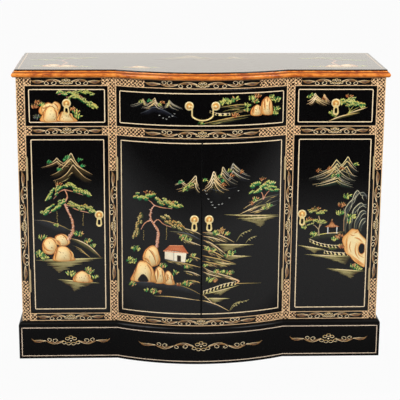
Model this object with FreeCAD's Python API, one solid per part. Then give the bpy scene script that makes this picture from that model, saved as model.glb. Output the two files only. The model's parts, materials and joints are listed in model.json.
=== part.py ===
import FreeCAD
import Part
import math
import os

# Bow-fronted lacquered sideboard with four doors and three drawers.
# Millimetres. +X points right, +Y to the back, +Z up.
# The origin lies on the floor under the middle of the bounding box.

Vector = FreeCAD.Vector
ORIGIN = Vector(0, 0, 0)
X_AXIS = Vector(1, 0, 0)
Y_AXIS = Vector(0, 1, 0)
Z_AXIS = Vector(0, 0, 1)

# Overall size
WIDTH = 1140.0
HEIGHT = 918.0
BODY_DEPTH = 338.0
TOP_BACK_OVERHANG = 6.0
EDGE_OVERHANG = 12.0
BOW_RISE = 60.0

# Levels above the floor
PLINTH_TOP = 108.0
BODY_BOTTOM = 122.0
BOTTOM_RAIL_TOP = 147.0
MID_RAIL_BOTTOM = 717.0
MID_RAIL_TOP = 745.0
TOP_RAIL_BOTTOM = 868.0
TOP_UNDERSIDE = 894.5
RIM_UNDERSIDE = 914.0

# Face frame, seen from the front
OUTER_STILE = 26.0
INNER_STILE = 25.0
CENTRE_OPENING = 516.0
FRAME_THICK = 20.0

# Boards of the carcase
PANEL_THICK = 18.0
BACK_THICK = 6.0
BACK_RABBET = 9.0
SHELF_THICK = 16.0
SHELF_LEVEL = 430.0
SHELF_SETBACK = 24.0
SHELF_END_PLAY = 1.0
SHELF_PIN_RADIUS = 3.0
SHELF_PIN_DEPTH = 8.0
SHELF_PIN_REACH = 10.0
SHELF_PIN_INSET = 40.0
PIN_HOLE_PLAY = 0.02
PLINTH_THICK = 20.0
RIM_OVERHANG = 3.0
RIM_ROUND = 2.5
MOULDING_INSET = 15.0
COVE_RADIUS = 5.0
COVE_QUIRK = 0.5
MOULDING_STEP = 0.8
TORUS_FOOT = 6.5
PLINTH_FILLET = 2.0
PLINTH_ROUND_FOOT = 0.5
PLINTH_ROUND_BULGE = 0.69
DIVIDER_RAISE = 3.0

# Gaps round the doors and the drawer fronts
FRONT_GAP = 2.0
HINGE_GAP = 2.4
FRONT_EDGE_ROUND = 1.5

# Butt hinges
HINGE_LEVELS = (254.0, 613.0)
HINGE_HEIGHT = 70.0
HINGE_PROUD = 3.3
KNUCKLES = 5
KNUCKLE_GAP = 0.15
BARREL_RADIUS = 3.0
BARREL_CLEARANCE = 0.3
BARREL_RELIEF = 3.4
LEAF_THICK = 1.6
LEAF_AXIS_GAP = 0.2
LEAF_DEPTH = 14.0
HINGE_PIN_RADIUS = 1.2
FRAME_BORE = 1.22
DOOR_BORE = 1.28
FINIAL_RADIUS = 2.2

# Magnetic catches
CATCH_LENGTH = 40.0
CATCH_DEPTH = 14.0
CATCH_HEIGHT = 13.0
CATCH_GAP = 0.4
CATCH_INSET = 12.0
CATCH_ROUND = 2.0
STRIKE_LENGTH = 30.0
STRIKE_HEIGHT = 10.0
STRIKE_THICK = 1.0
STRIKE_BELOW_EDGE = 2.0

# Drawer boxes and what they run on
DRAWER_BOX_LENGTH = 285.0
DRAWER_BOX_BOTTOM = 749.0
DRAWER_BOX_TOP = 853.0
DRAWER_SIDE_PLAY = 4.5
CENTRE_BOX_HALF = 250.0
DRAWER_BOARD = 12.0
DRAWER_BOTTOM_THICK = 5.0
DRAWER_BOTTOM_RAISE = 8.0
DRAWER_GROOVE = 5.0
RUNNER_PLAY = 0.3
RUNNER_LIP_PLAY = 0.5
RUNNER_LIP_HEIGHT = 15.0
RUNNER_SEAT = 14.0
RUNNER_LENGTH = 290.0
KICKER_BOTTOM = 856.0
KICKER_TOP = 880.0
KICKER_WIDTH = 22.0

# Drop pulls
SIDE_DOOR_PULL_INSET = 29.0
CENTRE_DOOR_PULL_X = 22.4
DOOR_PULL_LEVEL = 466.5
DRAWER_PULL_LEVEL = 815.0
ROSETTE_RADIUS = 13.5
ROSETTE_SUNK = 0.6
ROSETTE_EDGE = 1.0
BEAD_WIDTH = 5.0
BEAD_CROWN_INSET = 2.2
BEAD_HEIGHT = 3.0
DISH_HEIGHT = 0.9
HUB_FLARE = 2.2
DROP_HUB_RADIUS = 1.5
DROP_HUB_HEIGHT = 2.2
PULL_PIVOT = 6.0
LUG_NEAR = 2.6
LUG_FAR = 4.6
LUG_RADIUS = 3.2
LUG_FOOT = 0.3
PULL_PIN_RADIUS = 1.2
PULL_BORE = 1.26
EYE_RADIUS = 3.0
EYE_HALF = 2.3
DROP_THICK = 3.2
DROP_SHOULDER = 6.8
DROP_RADIUS = 9.2
DROP_NECK_LEVEL = -4.2
DROP_SHOULDER_LEVEL = -9.0
DROP_ARC_LEVEL = -27.3
SLOT_RADIUS = 4.0
SLOT_TOP = -17.5
SLOT_BOTTOM = -26.5
DROP_EDGE_ROUND = 1.1

# Bail pull of the centre drawer
BAIL_POST_X = 39.5
BAIL_LEVEL = 817.0
BAIL_PIVOT = 9.0
BAIL_BALL_RADIUS = 3.8
BAIL_POST_RADIUS = 2.4
BAIL_HUB_HEIGHT = 3.0
BAIL_ROSETTE_RADIUS = 13.5
BAIL_ARM_X = 31.5
BAIL_ROD_RADIUS = 2.3
BAIL_EYE_RADIUS = 2.58
BAIL_PIN_RADIUS = 1.5
BAIL_PIN_BEYOND = 0.5
BAIL_HOLE_RADIUS = 1.56
BAIL_HOLE_BEYOND = 1.0
BAIL_ARM_LENGTH = 24.0
BAIL_CORNER_RADIUS = 12.0
BAIL_DROP = 42.3

# Margins for cutting and for finding edges
CUT_MARGIN = 1.0
SWEEP_MARGIN_DEG = 4.0
LEVEL_TOLERANCE = 0.1
POINT_TOLERANCE = 0.01

# Places worked out from the sizes above
BODY_HALF = WIDTH / 2 - EDGE_OVERHANG
SIDE_INNER = BODY_HALF - PANEL_THICK
BAY_OUTER = BODY_HALF - OUTER_STILE
CENTRE_HALF = CENTRE_OPENING / 2
BAY_INNER = CENTRE_HALF + INNER_STILE
PARTITION_INNER = CENTRE_HALF + (INNER_STILE - PANEL_THICK) / 2
PARTITION_OUTER = PARTITION_INNER + PANEL_THICK
TOTAL_DEPTH = BOW_RISE + EDGE_OVERHANG + BODY_DEPTH + TOP_BACK_OVERHANG
FACE_Y = BOW_RISE + EDGE_OVERHANG - TOTAL_DEPTH / 2
FRAME_BACK_Y = FACE_Y + FRAME_THICK
BODY_BACK_Y = FACE_Y + BODY_DEPTH
BACK_PANEL_Y = BODY_BACK_Y - BACK_THICK
TOP_BACK_Y = BODY_BACK_Y + TOP_BACK_OVERHANG
BOW_RADIUS = (CENTRE_HALF ** 2 + BOW_RISE ** 2) / (2 * BOW_RISE)
BOW_CENTRE_Y = FACE_Y - BOW_RISE + BOW_RADIUS
BOW_INNER_RADIUS = math.hypot(CENTRE_HALF, BOW_CENTRE_Y - FRAME_BACK_Y)
BOW_THICK = BOW_RADIUS - BOW_INNER_RADIUS
HINGE_Y = FACE_Y - HINGE_PROUD
FLOOR_TOP = BODY_BOTTOM + PANEL_THICK
DIVIDER_BOTTOM = MID_RAIL_BOTTOM + DIVIDER_RAISE
DIVIDER_TOP = DIVIDER_BOTTOM + PANEL_THICK
DOOR_BOTTOM = BOTTOM_RAIL_TOP + FRONT_GAP
DOOR_TOP = MID_RAIL_BOTTOM - FRONT_GAP
DRAWER_BOTTOM = MID_RAIL_TOP + FRONT_GAP
DRAWER_TOP = TOP_RAIL_BOTTOM - FRONT_GAP
KNUCKLE_HEIGHT = HINGE_HEIGHT / KNUCKLES


# Basic shapes

def box(x0, x1, y0, y1, z0, z1):
    """Box between two opposite corners, given in any order."""
    corner = Vector(min(x0, x1), min(y0, y1), min(z0, z1))
    return Part.makeBox(abs(x1 - x0), abs(y1 - y0), abs(z1 - z0), corner)


def rod_x(radius, x0, x1, y, z):
    """Cylinder along X."""
    return Part.makeCylinder(radius, abs(x1 - x0), Vector(min(x0, x1), y, z), X_AXIS)


def mirrored(shape):
    """The same piece for the other side of the sideboard."""
    return shape.mirror(ORIGIN, X_AXIS)


def both_sides(shapes):
    """Pieces of the left side together with those of the right side."""
    return list(shapes) + [mirrored(shape) for shape in shapes]


def moved(shape, x, y, z):
    """Copy of a shape moved by x, y and z."""
    return shape.translated(Vector(x, y, z))


def joined(first, others):
    """One solid made of shapes that touch or overlap."""
    return first.fuse(list(others)).removeSplitter()


def edge_through(points):
    """Line through two points or arc through three."""
    if len(points) == 2:
        return Part.LineSegment(*points).toShape()
    return Part.Arc(*points).toShape()


def face_from(stretches, place):
    """Face whose outline is given as lines and arcs in two coordinates."""
    edges = [edge_through([place(*point) for point in stretch]) for stretch in stretches]
    return Part.Face(Part.Wire(edges))


def prism(corners, z0, z1):
    """Upright prism on a polygon of plan corners."""
    ring = [Vector(x, y, z0) for x, y in corners]
    face = Part.Face(Part.makePolygon(ring + ring[:1]))
    return face.extrude(Z_AXIS * (z1 - z0))


def rounded_front(slab, radius):
    """Slab with the edges of its front rounded; front edges are those that reach no back corner."""
    back = slab.BoundBox.YMax
    reach = back - FRAME_THICK / 2
    front_edges = [edge for edge in slab.Edges if edge.BoundBox.YMax < reach]
    return slab.makeFillet(radius, front_edges)


# The bowed front

def bow_y(x, offset=0.0):
    """Y of the bowed face at x, moved outwards by an offset."""
    return BOW_CENTRE_Y - math.sqrt((BOW_RADIUS + offset) ** 2 - x ** 2)


def kink_x(offset):
    """X where the bow and the straight face meet, both moved outwards by an offset."""
    straight = BOW_CENTRE_Y - FACE_Y + offset
    return math.sqrt((BOW_RADIUS + offset) ** 2 - straight ** 2)


def bow_arc(x0, x1, offset, z):
    """Level arc along the bow between two values of x."""
    return [Vector(x, bow_y(x, offset), z) for x in (x0, (x0 + x1) / 2, x1)]


def bow_slab(x0, x1, outer, inner, z0, z1):
    """Curved slab between two offsets of the bow, with ends square to the front."""
    front = bow_arc(x0, x1, outer, z0)
    back = bow_arc(x1, x0, inner, z0)
    edges = [edge_through(front), edge_through([front[2], back[0]])]
    edges += [edge_through(back), edge_through([back[2], front[0]])]
    return Part.Face(Part.Wire(edges)).extrude(Z_AXIS * (z1 - z0))


def bowed_board(half_width, kink, y_front, y_apex, y_back, z0, z1):
    """Level board with a front edge that is straight, bowed and straight again."""
    corners = [(-kink, y_front), (-half_width, y_front), (-half_width, y_back)]
    corners += [(-x, y) for x, y in reversed(corners)]
    points = [Vector(x, y, z0) for x, y in corners]
    edges = [edge_through(pair) for pair in zip(points, points[1:])]
    edges.append(edge_through([points[-1], Vector(0, y_apex, z0), points[0]]))
    return Part.Face(Part.Wire(edges)).extrude(Z_AXIS * (z1 - z0))


def inner_board(half_width, y_back, z0, z1):
    """Board inside the carcase whose front edge follows the back of the face frame."""
    y_apex = BOW_CENTRE_Y - BOW_INNER_RADIUS
    return bowed_board(half_width, CENTRE_HALF, FRAME_BACK_Y, y_apex, y_back, z0, z1)


def mitred_run(profile, y_back):
    """Five mitred lengths of a profile: left side, left front, bow, right front and right side.

    The profile is a list of lines and arcs in outward offset and height."""
    offsets = [offset for stretch in profile for offset, _ in stretch]
    levels = [level for stretch in profile for _, level in stretch]
    inner = min(offsets)
    outer = max(offsets) + CUT_MARGIN
    low = min(levels)
    high = max(levels)

    def corner(offset):
        return (-(BODY_HALF + offset), FACE_Y - offset)

    def kink(offset):
        return (-kink_x(offset), FACE_Y - offset)

    far_x = BODY_HALF + outer + CUT_MARGIN
    far_y = FACE_Y - outer - CUT_MARGIN
    side_face = face_from(profile, lambda offset, z: Vector(-BODY_HALF - offset, far_y, z))
    side_bar = side_face.extrude(Y_AXIS * (y_back - far_y))
    side_plan = [corner(inner), corner(outer), (-BODY_HALF - outer, y_back), (-BODY_HALF - inner, y_back)]
    side = side_bar.common(prism(side_plan, low, high))

    front_face = face_from(profile, lambda offset, z: Vector(-far_x, FACE_Y - offset, z))
    front_bar = front_face.extrude(X_AXIS * far_x)
    front_plan = [corner(inner), corner(outer), kink(outer), kink(inner)]
    front = front_bar.common(prism(front_plan, low, high))

    axis_foot = Vector(0, BOW_CENTRE_Y, 0)
    bow_face = face_from(profile, lambda offset, z: Vector(0, BOW_CENTRE_Y - BOW_RADIUS - offset, z))
    half_angle = math.degrees(math.asin(CENTRE_HALF / BOW_RADIUS)) + SWEEP_MARGIN_DEG
    bow_face.rotate(axis_foot, Z_AXIS, -half_angle)
    bow_bar = bow_face.revolve(axis_foot, Z_AXIS, 2 * half_angle)
    beyond = (-kink_x(outer), FACE_Y - BOW_RISE - outer - CUT_MARGIN)
    left_plan = [kink(inner), kink(outer), beyond]
    bow_plan = left_plan + [(-x, y) for x, y in reversed(left_plan)]
    bow = bow_bar.common(prism(bow_plan, low, high))

    lengths = [side, front, bow, mirrored(front), mirrored(side)]
    return [length.Solids[0] for length in lengths]


# Top, plinth and their mouldings

def top_nodes():
    """Top board with its rounded rim, and the moulding under the rim."""
    core_front = FACE_Y + MOULDING_INSET
    core = bowed_board(BODY_HALF - MOULDING_INSET, kink_x(-MOULDING_INSET), core_front,
                       core_front - BOW_RISE, TOP_BACK_Y, TOP_UNDERSIDE, RIM_UNDERSIDE)
    rim_front = FACE_Y - RIM_OVERHANG
    rim = bowed_board(BODY_HALF + RIM_OVERHANG, kink_x(RIM_OVERHANG), rim_front,
                      rim_front - BOW_RISE, TOP_BACK_Y, RIM_UNDERSIDE, HEIGHT)
    upper = [edge for edge in rim.Edges if edge.BoundBox.ZMin > RIM_UNDERSIDE + RIM_ROUND / 2]
    seen = [edge for edge in upper if edge.BoundBox.YMin < TOP_BACK_Y - RIM_ROUND]
    top = joined(core, [rim.makeFillet(RIM_ROUND, seen)])

    # A cove under the rim, a small step, then a torus down to the body
    cove_in = RIM_OVERHANG + COVE_QUIRK
    cove_out = cove_in + COVE_RADIUS
    cove_low = RIM_UNDERSIDE - COVE_RADIUS
    cove_turn = COVE_RADIUS * (1 - math.sin(math.pi / 4))
    torus_top = cove_low - MOULDING_STEP
    torus_level = (torus_top + TOP_UNDERSIDE) / 2
    moulding_profile = [
        [(-MOULDING_INSET, RIM_UNDERSIDE), (cove_in, RIM_UNDERSIDE)],
        [(cove_in, RIM_UNDERSIDE), (cove_in + cove_turn, cove_low + cove_turn), (cove_out, cove_low)],
        [(cove_out, cove_low), (cove_out, torus_top)],
        [(cove_out, torus_top), (EDGE_OVERHANG, torus_level), (TORUS_FOOT, TOP_UNDERSIDE)],
        [(TORUS_FOOT, TOP_UNDERSIDE), (-MOULDING_INSET, TOP_UNDERSIDE)],
        [(-MOULDING_INSET, TOP_UNDERSIDE), (-MOULDING_INSET, RIM_UNDERSIDE)],
    ]
    moulding = mitred_run(moulding_profile, TOP_BACK_Y)
    return {"top_panel": top, "top_moulding": Part.makeCompound(moulding)}


def plinth_nodes():
    """Plinth boards, mitred at the front, and the rounded moulding on them."""
    inner = EDGE_OVERHANG - PLINTH_THICK
    board_profile = [
        [(inner, 0.0), (EDGE_OVERHANG, 0.0)],
        [(EDGE_OVERHANG, 0.0), (EDGE_OVERHANG, PLINTH_TOP)],
        [(EDGE_OVERHANG, PLINTH_TOP), (inner, PLINTH_TOP)],
        [(inner, PLINTH_TOP), (inner, 0.0)],
    ]
    left, left_front, bow, right_front, right = mitred_run(board_profile, BODY_BACK_Y)
    inside = BODY_HALF + inner
    back = box(-inside, inside, BODY_BACK_Y - PLINTH_THICK, BODY_BACK_Y, 0.0, BODY_BOTTOM)

    round_level = PLINTH_TOP + PLINTH_FILLET
    middle = (PLINTH_ROUND_FOOT + PLINTH_ROUND_BULGE * (EDGE_OVERHANG - PLINTH_ROUND_FOOT),
              round_level + PLINTH_ROUND_BULGE * (BODY_BOTTOM - round_level))
    moulding_profile = [
        [(inner, PLINTH_TOP), (EDGE_OVERHANG, PLINTH_TOP)],
        [(EDGE_OVERHANG, PLINTH_TOP), (EDGE_OVERHANG, round_level)],
        [(EDGE_OVERHANG, round_level), middle, (PLINTH_ROUND_FOOT, BODY_BOTTOM)],
        [(PLINTH_ROUND_FOOT, BODY_BOTTOM), (inner, BODY_BOTTOM)],
        [(inner, BODY_BOTTOM), (inner, PLINTH_TOP)],
    ]
    moulding = mitred_run(moulding_profile, BODY_BACK_Y)
    return {
        "plinth_front": Part.makeCompound([left_front, bow, right_front]),
        "plinth_returns": Part.makeCompound([left, right, back]),
        "plinth_moulding": Part.makeCompound(moulding),
    }


# Carcase

def shelf_pin_places():
    """Inner face, outward direction and Y of each shelf pin of the left bay and the left half."""
    rows = (FRAME_BACK_Y + SHELF_SETBACK + SHELF_PIN_INSET, BACK_PANEL_Y - SHELF_PIN_INSET)
    faces = ((-SIDE_INNER, -1), (-PARTITION_OUTER, 1), (-PARTITION_INNER, -1))
    return [(face, into, y) for face, into in faces for y in rows]


def shelf_pin(face, into, y, radius):
    """Pin standing in the board behind a face, or the hole for it."""
    level = SHELF_LEVEL - SHELF_PIN_RADIUS
    return rod_x(radius, face + into * SHELF_PIN_DEPTH, face - into * SHELF_PIN_REACH, y, level)


def with_pin_holes(board, faces):
    """Board with the holes for the shelf pins that stand in the given faces."""
    for face, into, y in shelf_pin_places():
        if face in faces:
            board = board.cut(shelf_pin(face, into, y, SHELF_PIN_RADIUS + PIN_HOLE_PLAY))
    return board


def carcase_nodes():
    """Sides, partitions, back, floor, dividers under the drawers, and shelves on pins."""
    side = box(-BODY_HALF, -SIDE_INNER, FRAME_BACK_Y, BODY_BACK_Y, BODY_BOTTOM, TOP_UNDERSIDE)
    back_half = SIDE_INNER + BACK_RABBET
    rabbet = box(-back_half, -SIDE_INNER, BACK_PANEL_Y, BODY_BACK_Y, BODY_BOTTOM, TOP_UNDERSIDE)
    side = with_pin_holes(side.cut(rabbet), [-SIDE_INNER])
    partition = box(-PARTITION_OUTER, -PARTITION_INNER, FRAME_BACK_Y, BACK_PANEL_Y, FLOOR_TOP, TOP_UNDERSIDE)
    partition = with_pin_holes(partition, [-PARTITION_OUTER, -PARTITION_INNER])
    back = box(-back_half, back_half, BACK_PANEL_Y, BODY_BACK_Y, BODY_BOTTOM, TOP_UNDERSIDE)
    floor = inner_board(SIDE_INNER, BACK_PANEL_Y, BODY_BOTTOM, FLOOR_TOP)

    side_divider = box(-SIDE_INNER, -PARTITION_OUTER, FRAME_BACK_Y, BACK_PANEL_Y, DIVIDER_BOTTOM, DIVIDER_TOP)
    centre_divider = inner_board(PARTITION_INNER, BACK_PANEL_Y, DIVIDER_BOTTOM, DIVIDER_TOP)

    shelf_front = FRAME_BACK_Y + SHELF_SETBACK
    shelf_top = SHELF_LEVEL + SHELF_THICK
    side_shelf = box(-SIDE_INNER + SHELF_END_PLAY, -PARTITION_OUTER - SHELF_END_PLAY,
                     shelf_front, BACK_PANEL_Y, SHELF_LEVEL, shelf_top)
    shelf_half = PARTITION_INNER - SHELF_END_PLAY
    centre_shelf = box(-shelf_half, shelf_half, shelf_front, BACK_PANEL_Y, SHELF_LEVEL, shelf_top)
    pins = [shelf_pin(face, into, y, SHELF_PIN_RADIUS) for face, into, y in shelf_pin_places()]
    return {
        "side_left": side,
        "side_right": mirrored(side),
        "partition_left": partition,
        "partition_right": mirrored(partition),
        "back_panel": back,
        "floor_panel": floor,
        "drawer_divider": Part.makeCompound([side_divider, centre_divider, mirrored(side_divider)]),
        "shelf_left": side_shelf,
        "shelf_centre": centre_shelf,
        "shelf_right": mirrored(side_shelf),
        "shelf_pins": Part.makeCompound(both_sides(pins)),
    }


def drawer_track_nodes():
    """Runners with guide lips under the drawer boxes, and kickers above them."""
    runner_top = DRAWER_BOX_BOTTOM - RUNNER_PLAY
    lip_top = runner_top + RUNNER_LIP_HEIGHT
    # Wall that carries the runner, and the side of the drawer box beside it
    tracks = (
        (-SIDE_INNER, -BAY_OUTER + DRAWER_SIDE_PLAY),
        (-PARTITION_OUTER, -BAY_INNER - DRAWER_SIDE_PLAY),
        (-PARTITION_INNER, -CENTRE_BOX_HALF),
    )
    runners = []
    kickers = []
    y0 = FRAME_BACK_Y
    y1 = FRAME_BACK_Y + RUNNER_LENGTH
    for wall, box_side in tracks:
        inwards = math.copysign(1.0, box_side - wall)
        seat = box(wall, box_side + inwards * RUNNER_SEAT, y0, y1, DIVIDER_TOP, runner_top)
        lip = box(wall, box_side - inwards * RUNNER_LIP_PLAY, y0, y1, DIVIDER_TOP, lip_top)
        runners.append(joined(seat, [lip]))
        kickers.append(box(wall, wall + inwards * KICKER_WIDTH, y0, y1, KICKER_BOTTOM, KICKER_TOP))
    return {
        "drawer_runners": Part.makeCompound(both_sides(runners)),
        "drawer_kickers": Part.makeCompound(both_sides(kickers)),
    }


# Butt hinges, made round an axis at the origin with the door on the +X side

def knuckle(index, radius, margin):
    """One length of the hinge barrel."""
    foot = (index - KNUCKLES / 2) * KNUCKLE_HEIGHT + margin
    return Part.makeCylinder(radius, KNUCKLE_HEIGHT - 2 * margin, Vector(0, 0, foot))


def hinge_leaf(side, own, others, bore):
    """Leaf with its own knuckles, cleared where the other leaf has its knuckles."""
    half = HINGE_HEIGHT / 2
    near = side * LEAF_AXIS_GAP
    far = side * (LEAF_AXIS_GAP + LEAF_THICK)
    leaf = box(near, far, 0, HINGE_PROUD + LEAF_DEPTH, -half, half)
    leaf = joined(leaf, [knuckle(index, BARREL_RADIUS, KNUCKLE_GAP) for index in own])
    for index in others:
        leaf = leaf.cut(knuckle(index, BARREL_RADIUS + BARREL_CLEARANCE, 0.0))
    return leaf.cut(Part.makeCylinder(bore, HINGE_HEIGHT, Vector(0, 0, -half)))


def hinge_pin():
    """Pin with a domed finial at each end."""
    half = HINGE_HEIGHT / 2
    pin = Part.makeCylinder(HINGE_PIN_RADIUS, HINGE_HEIGHT, Vector(0, 0, -half))
    upper = Part.makeSphere(FINIAL_RADIUS, Vector(0, 0, half), Z_AXIS, 0, 90, 360)
    lower = Part.makeSphere(FINIAL_RADIUS, Vector(0, 0, -half), Z_AXIS, -90, 0, 360)
    return joined(pin, [upper, lower])


def hinge_mortise(side):
    """Recess for a leaf, open towards the gap and the front."""
    half = HINGE_HEIGHT / 2
    return box(0, side * (LEAF_AXIS_GAP + LEAF_THICK), 0, HINGE_PROUD + LEAF_DEPTH, -half, half)


def at_hinges(shape, axis_x):
    """Copies of a shape at the two hinges of a door."""
    return [moved(shape, axis_x, HINGE_Y, level) for level in HINGE_LEVELS]


def hinge_axis_x(opening_edge):
    """Hinge axis in the middle of the gap at the left edge of a door opening."""
    return opening_edge + HINGE_GAP / 2


def hinge_nodes():
    """Leaves on the face frame and the hinge pins, for all four doors."""
    leaf = hinge_leaf(-1, range(0, KNUCKLES, 2), range(1, KNUCKLES, 2), FRAME_BORE)
    leaves = []
    pins = []
    for edge in (-BAY_OUTER, -CENTRE_HALF):
        leaves += at_hinges(leaf, hinge_axis_x(edge))
        pins += at_hinges(hinge_pin(), hinge_axis_x(edge))
    return {
        "hinge_frame_leaves": Part.makeCompound(both_sides(leaves)),
        "hinge_pins": Part.makeCompound(both_sides(pins)),
    }


# Face frame

def face_frame_nodes():
    """Stiles with hinge recesses, and rails in three lengths each."""
    outer = box(-BODY_HALF, -BAY_OUTER, FACE_Y, FRAME_BACK_Y, BODY_BOTTOM, TOP_UNDERSIDE)
    inner = box(-BAY_INNER, -CENTRE_HALF, FACE_Y, FRAME_BACK_Y, BODY_BOTTOM, TOP_UNDERSIDE)
    outer = outer.cut(at_hinges(hinge_mortise(-1), hinge_axis_x(-BAY_OUTER)))
    inner = inner.cut(at_hinges(hinge_mortise(-1), hinge_axis_x(-CENTRE_HALF)))
    nodes = {
        "stile_outer_left": outer,
        "stile_inner_left": inner,
        "stile_inner_right": mirrored(inner),
        "stile_outer_right": mirrored(outer),
    }
    rails = {
        "bottom_rail": (BODY_BOTTOM, BOTTOM_RAIL_TOP),
        "mid_rail": (MID_RAIL_BOTTOM, MID_RAIL_TOP),
        "top_rail": (TOP_RAIL_BOTTOM, TOP_UNDERSIDE),
    }
    for name, (low, high) in rails.items():
        left = box(-BAY_OUTER, -BAY_INNER, FACE_Y, FRAME_BACK_Y, low, high)
        bow = bow_slab(-CENTRE_HALF, CENTRE_HALF, 0.0, -BOW_THICK, low, high)
        nodes[name] = Part.makeCompound([left, bow, mirrored(left)])
    return nodes


# Brass pulls, made with the mounting face at Y = 0 and the outside towards -Y

def turned(stretches):
    """Solid turned about the Y axis from an outline in radius and outward height."""
    face = face_from(stretches, lambda radius, height: Vector(radius, -height, 0))
    return face.revolve(ORIGIN, Y_AXIS, 360)


def rosette_dish(radius, hub_radius, hub_height):
    """Round backplate with a broad raised bead, a sunk dish and a small hub."""
    bead_in = (radius - BEAD_WIDTH, DISH_HEIGHT)
    bead_top = (radius - BEAD_CROWN_INSET, BEAD_HEIGHT)
    hub_foot = (hub_radius + HUB_FLARE, DISH_HEIGHT)
    hub = (hub_radius, hub_height)
    return turned([
        [(0, -ROSETTE_SUNK), (radius, -ROSETTE_SUNK)],
        [(radius, -ROSETTE_SUNK), (radius, ROSETTE_EDGE)],
        [(radius, ROSETTE_EDGE), bead_top, bead_in],
        [bead_in, hub_foot],
        [hub_foot, hub],
        [hub, (0, hub_height)],
        [(0, hub_height), (0, -ROSETTE_SUNK)],
    ])


def drop_rosette():
    """Backplate with two lugs and the pin that the drop hangs on."""
    dish = rosette_dish(ROSETTE_RADIUS, DROP_HUB_RADIUS, DROP_HUB_HEIGHT)
    lugs = []
    for side in (-1, 1):
        near = side * LUG_NEAR
        far = side * LUG_FAR
        lugs.append(rod_x(LUG_RADIUS, near, far, -PULL_PIVOT, 0))
        lugs.append(box(near, far, -PULL_PIVOT, -LUG_FOOT, -LUG_RADIUS, LUG_RADIUS))
    pin = rod_x(PULL_PIN_RADIUS, -LUG_NEAR, LUG_NEAR, -PULL_PIVOT, 0)
    return joined(dish, lugs + [pin])


def drop_pull():
    """Flat cast drop with an eye at the top and a slot for a finger nail."""
    # The sides run from the shoulders as tangents to the round bottom
    reach = DROP_SHOULDER_LEVEL - DROP_ARC_LEVEL
    shoulder_far = math.hypot(DROP_SHOULDER, reach)
    angle = math.atan2(reach, DROP_SHOULDER) - math.acos(DROP_RADIUS / shoulder_far)
    arc_end = (DROP_RADIUS * math.cos(angle), DROP_ARC_LEVEL + DROP_RADIUS * math.sin(angle))
    shoulder = (DROP_SHOULDER, DROP_SHOULDER_LEVEL)
    neck = (EYE_HALF, DROP_NECK_LEVEL)
    right_side = [[(EYE_HALF, 0), neck], [neck, shoulder], [shoulder, arc_end]]
    left_side = [[(-x, z) for x, z in reversed(pair)] for pair in reversed(right_side)]
    bottom = [arc_end, (0, DROP_ARC_LEVEL - DROP_RADIUS), (-arc_end[0], arc_end[1])]
    outline = right_side + [bottom] + left_side + [[(-EYE_HALF, 0), (EYE_HALF, 0)]]
    back = -PULL_PIVOT + DROP_THICK / 2
    plate = face_from(outline, lambda x, z: Vector(x, back, z)).extrude(Y_AXIS * -DROP_THICK)

    slot = box(-SLOT_RADIUS, SLOT_RADIUS, back, back - DROP_THICK, SLOT_TOP, SLOT_BOTTOM)
    front = Vector(0, back - DROP_THICK, 0)
    for level in (SLOT_TOP, SLOT_BOTTOM):
        end = Part.makeCylinder(SLOT_RADIUS, DROP_THICK, front + Z_AXIS * level, Y_AXIS)
        slot = slot.fuse(end)
    plate = plate.cut(slot.removeSplitter())

    def is_rim(edge):
        level = edge.BoundBox.YMax - edge.BoundBox.YMin < LEVEL_TOLERANCE
        return level and edge.BoundBox.ZMax < DROP_NECK_LEVEL + LEVEL_TOLERANCE

    plate = plate.makeFillet(DROP_EDGE_ROUND, [edge for edge in plate.Edges if is_rim(edge)])
    eye = rod_x(EYE_RADIUS, -EYE_HALF, EYE_HALF, -PULL_PIVOT, 0)
    drop = joined(eye, [plate])
    return drop.cut(rod_x(PULL_BORE, -EYE_HALF, EYE_HALF, -PULL_PIVOT, 0))


def on_face(shape, x, z):
    """Shape placed on the straight face."""
    return moved(shape, x, FACE_Y, z)


def on_bow(shape, x, z):
    """Shape placed on the bow and turned to look along its normal."""
    angle = math.degrees(math.asin(x / BOW_RADIUS))
    turned_shape = shape.copy()
    turned_shape.rotate(ORIGIN, Z_AXIS, angle)
    return moved(turned_shape, x, bow_y(x), z)


def bail_post():
    """Backplate with a ball-ended post."""
    dish = rosette_dish(BAIL_ROSETTE_RADIUS, BAIL_POST_RADIUS, BAIL_HUB_HEIGHT)
    post = Part.makeCylinder(BAIL_POST_RADIUS, BAIL_PIVOT, ORIGIN, Y_AXIS * -1)
    ball = Part.makeSphere(BAIL_BALL_RADIUS, Vector(0, -BAIL_PIVOT, 0))
    return joined(dish, [post, ball])


def bail_ball():
    """Centre of the left post's ball."""
    angle = math.asin(BAIL_POST_X / BOW_RADIUS)
    x = BAIL_POST_X + BAIL_PIVOT * math.sin(angle)
    y = bow_y(BAIL_POST_X) - BAIL_PIVOT * math.cos(angle)
    return Vector(-x, y, BAIL_LEVEL)


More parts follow.
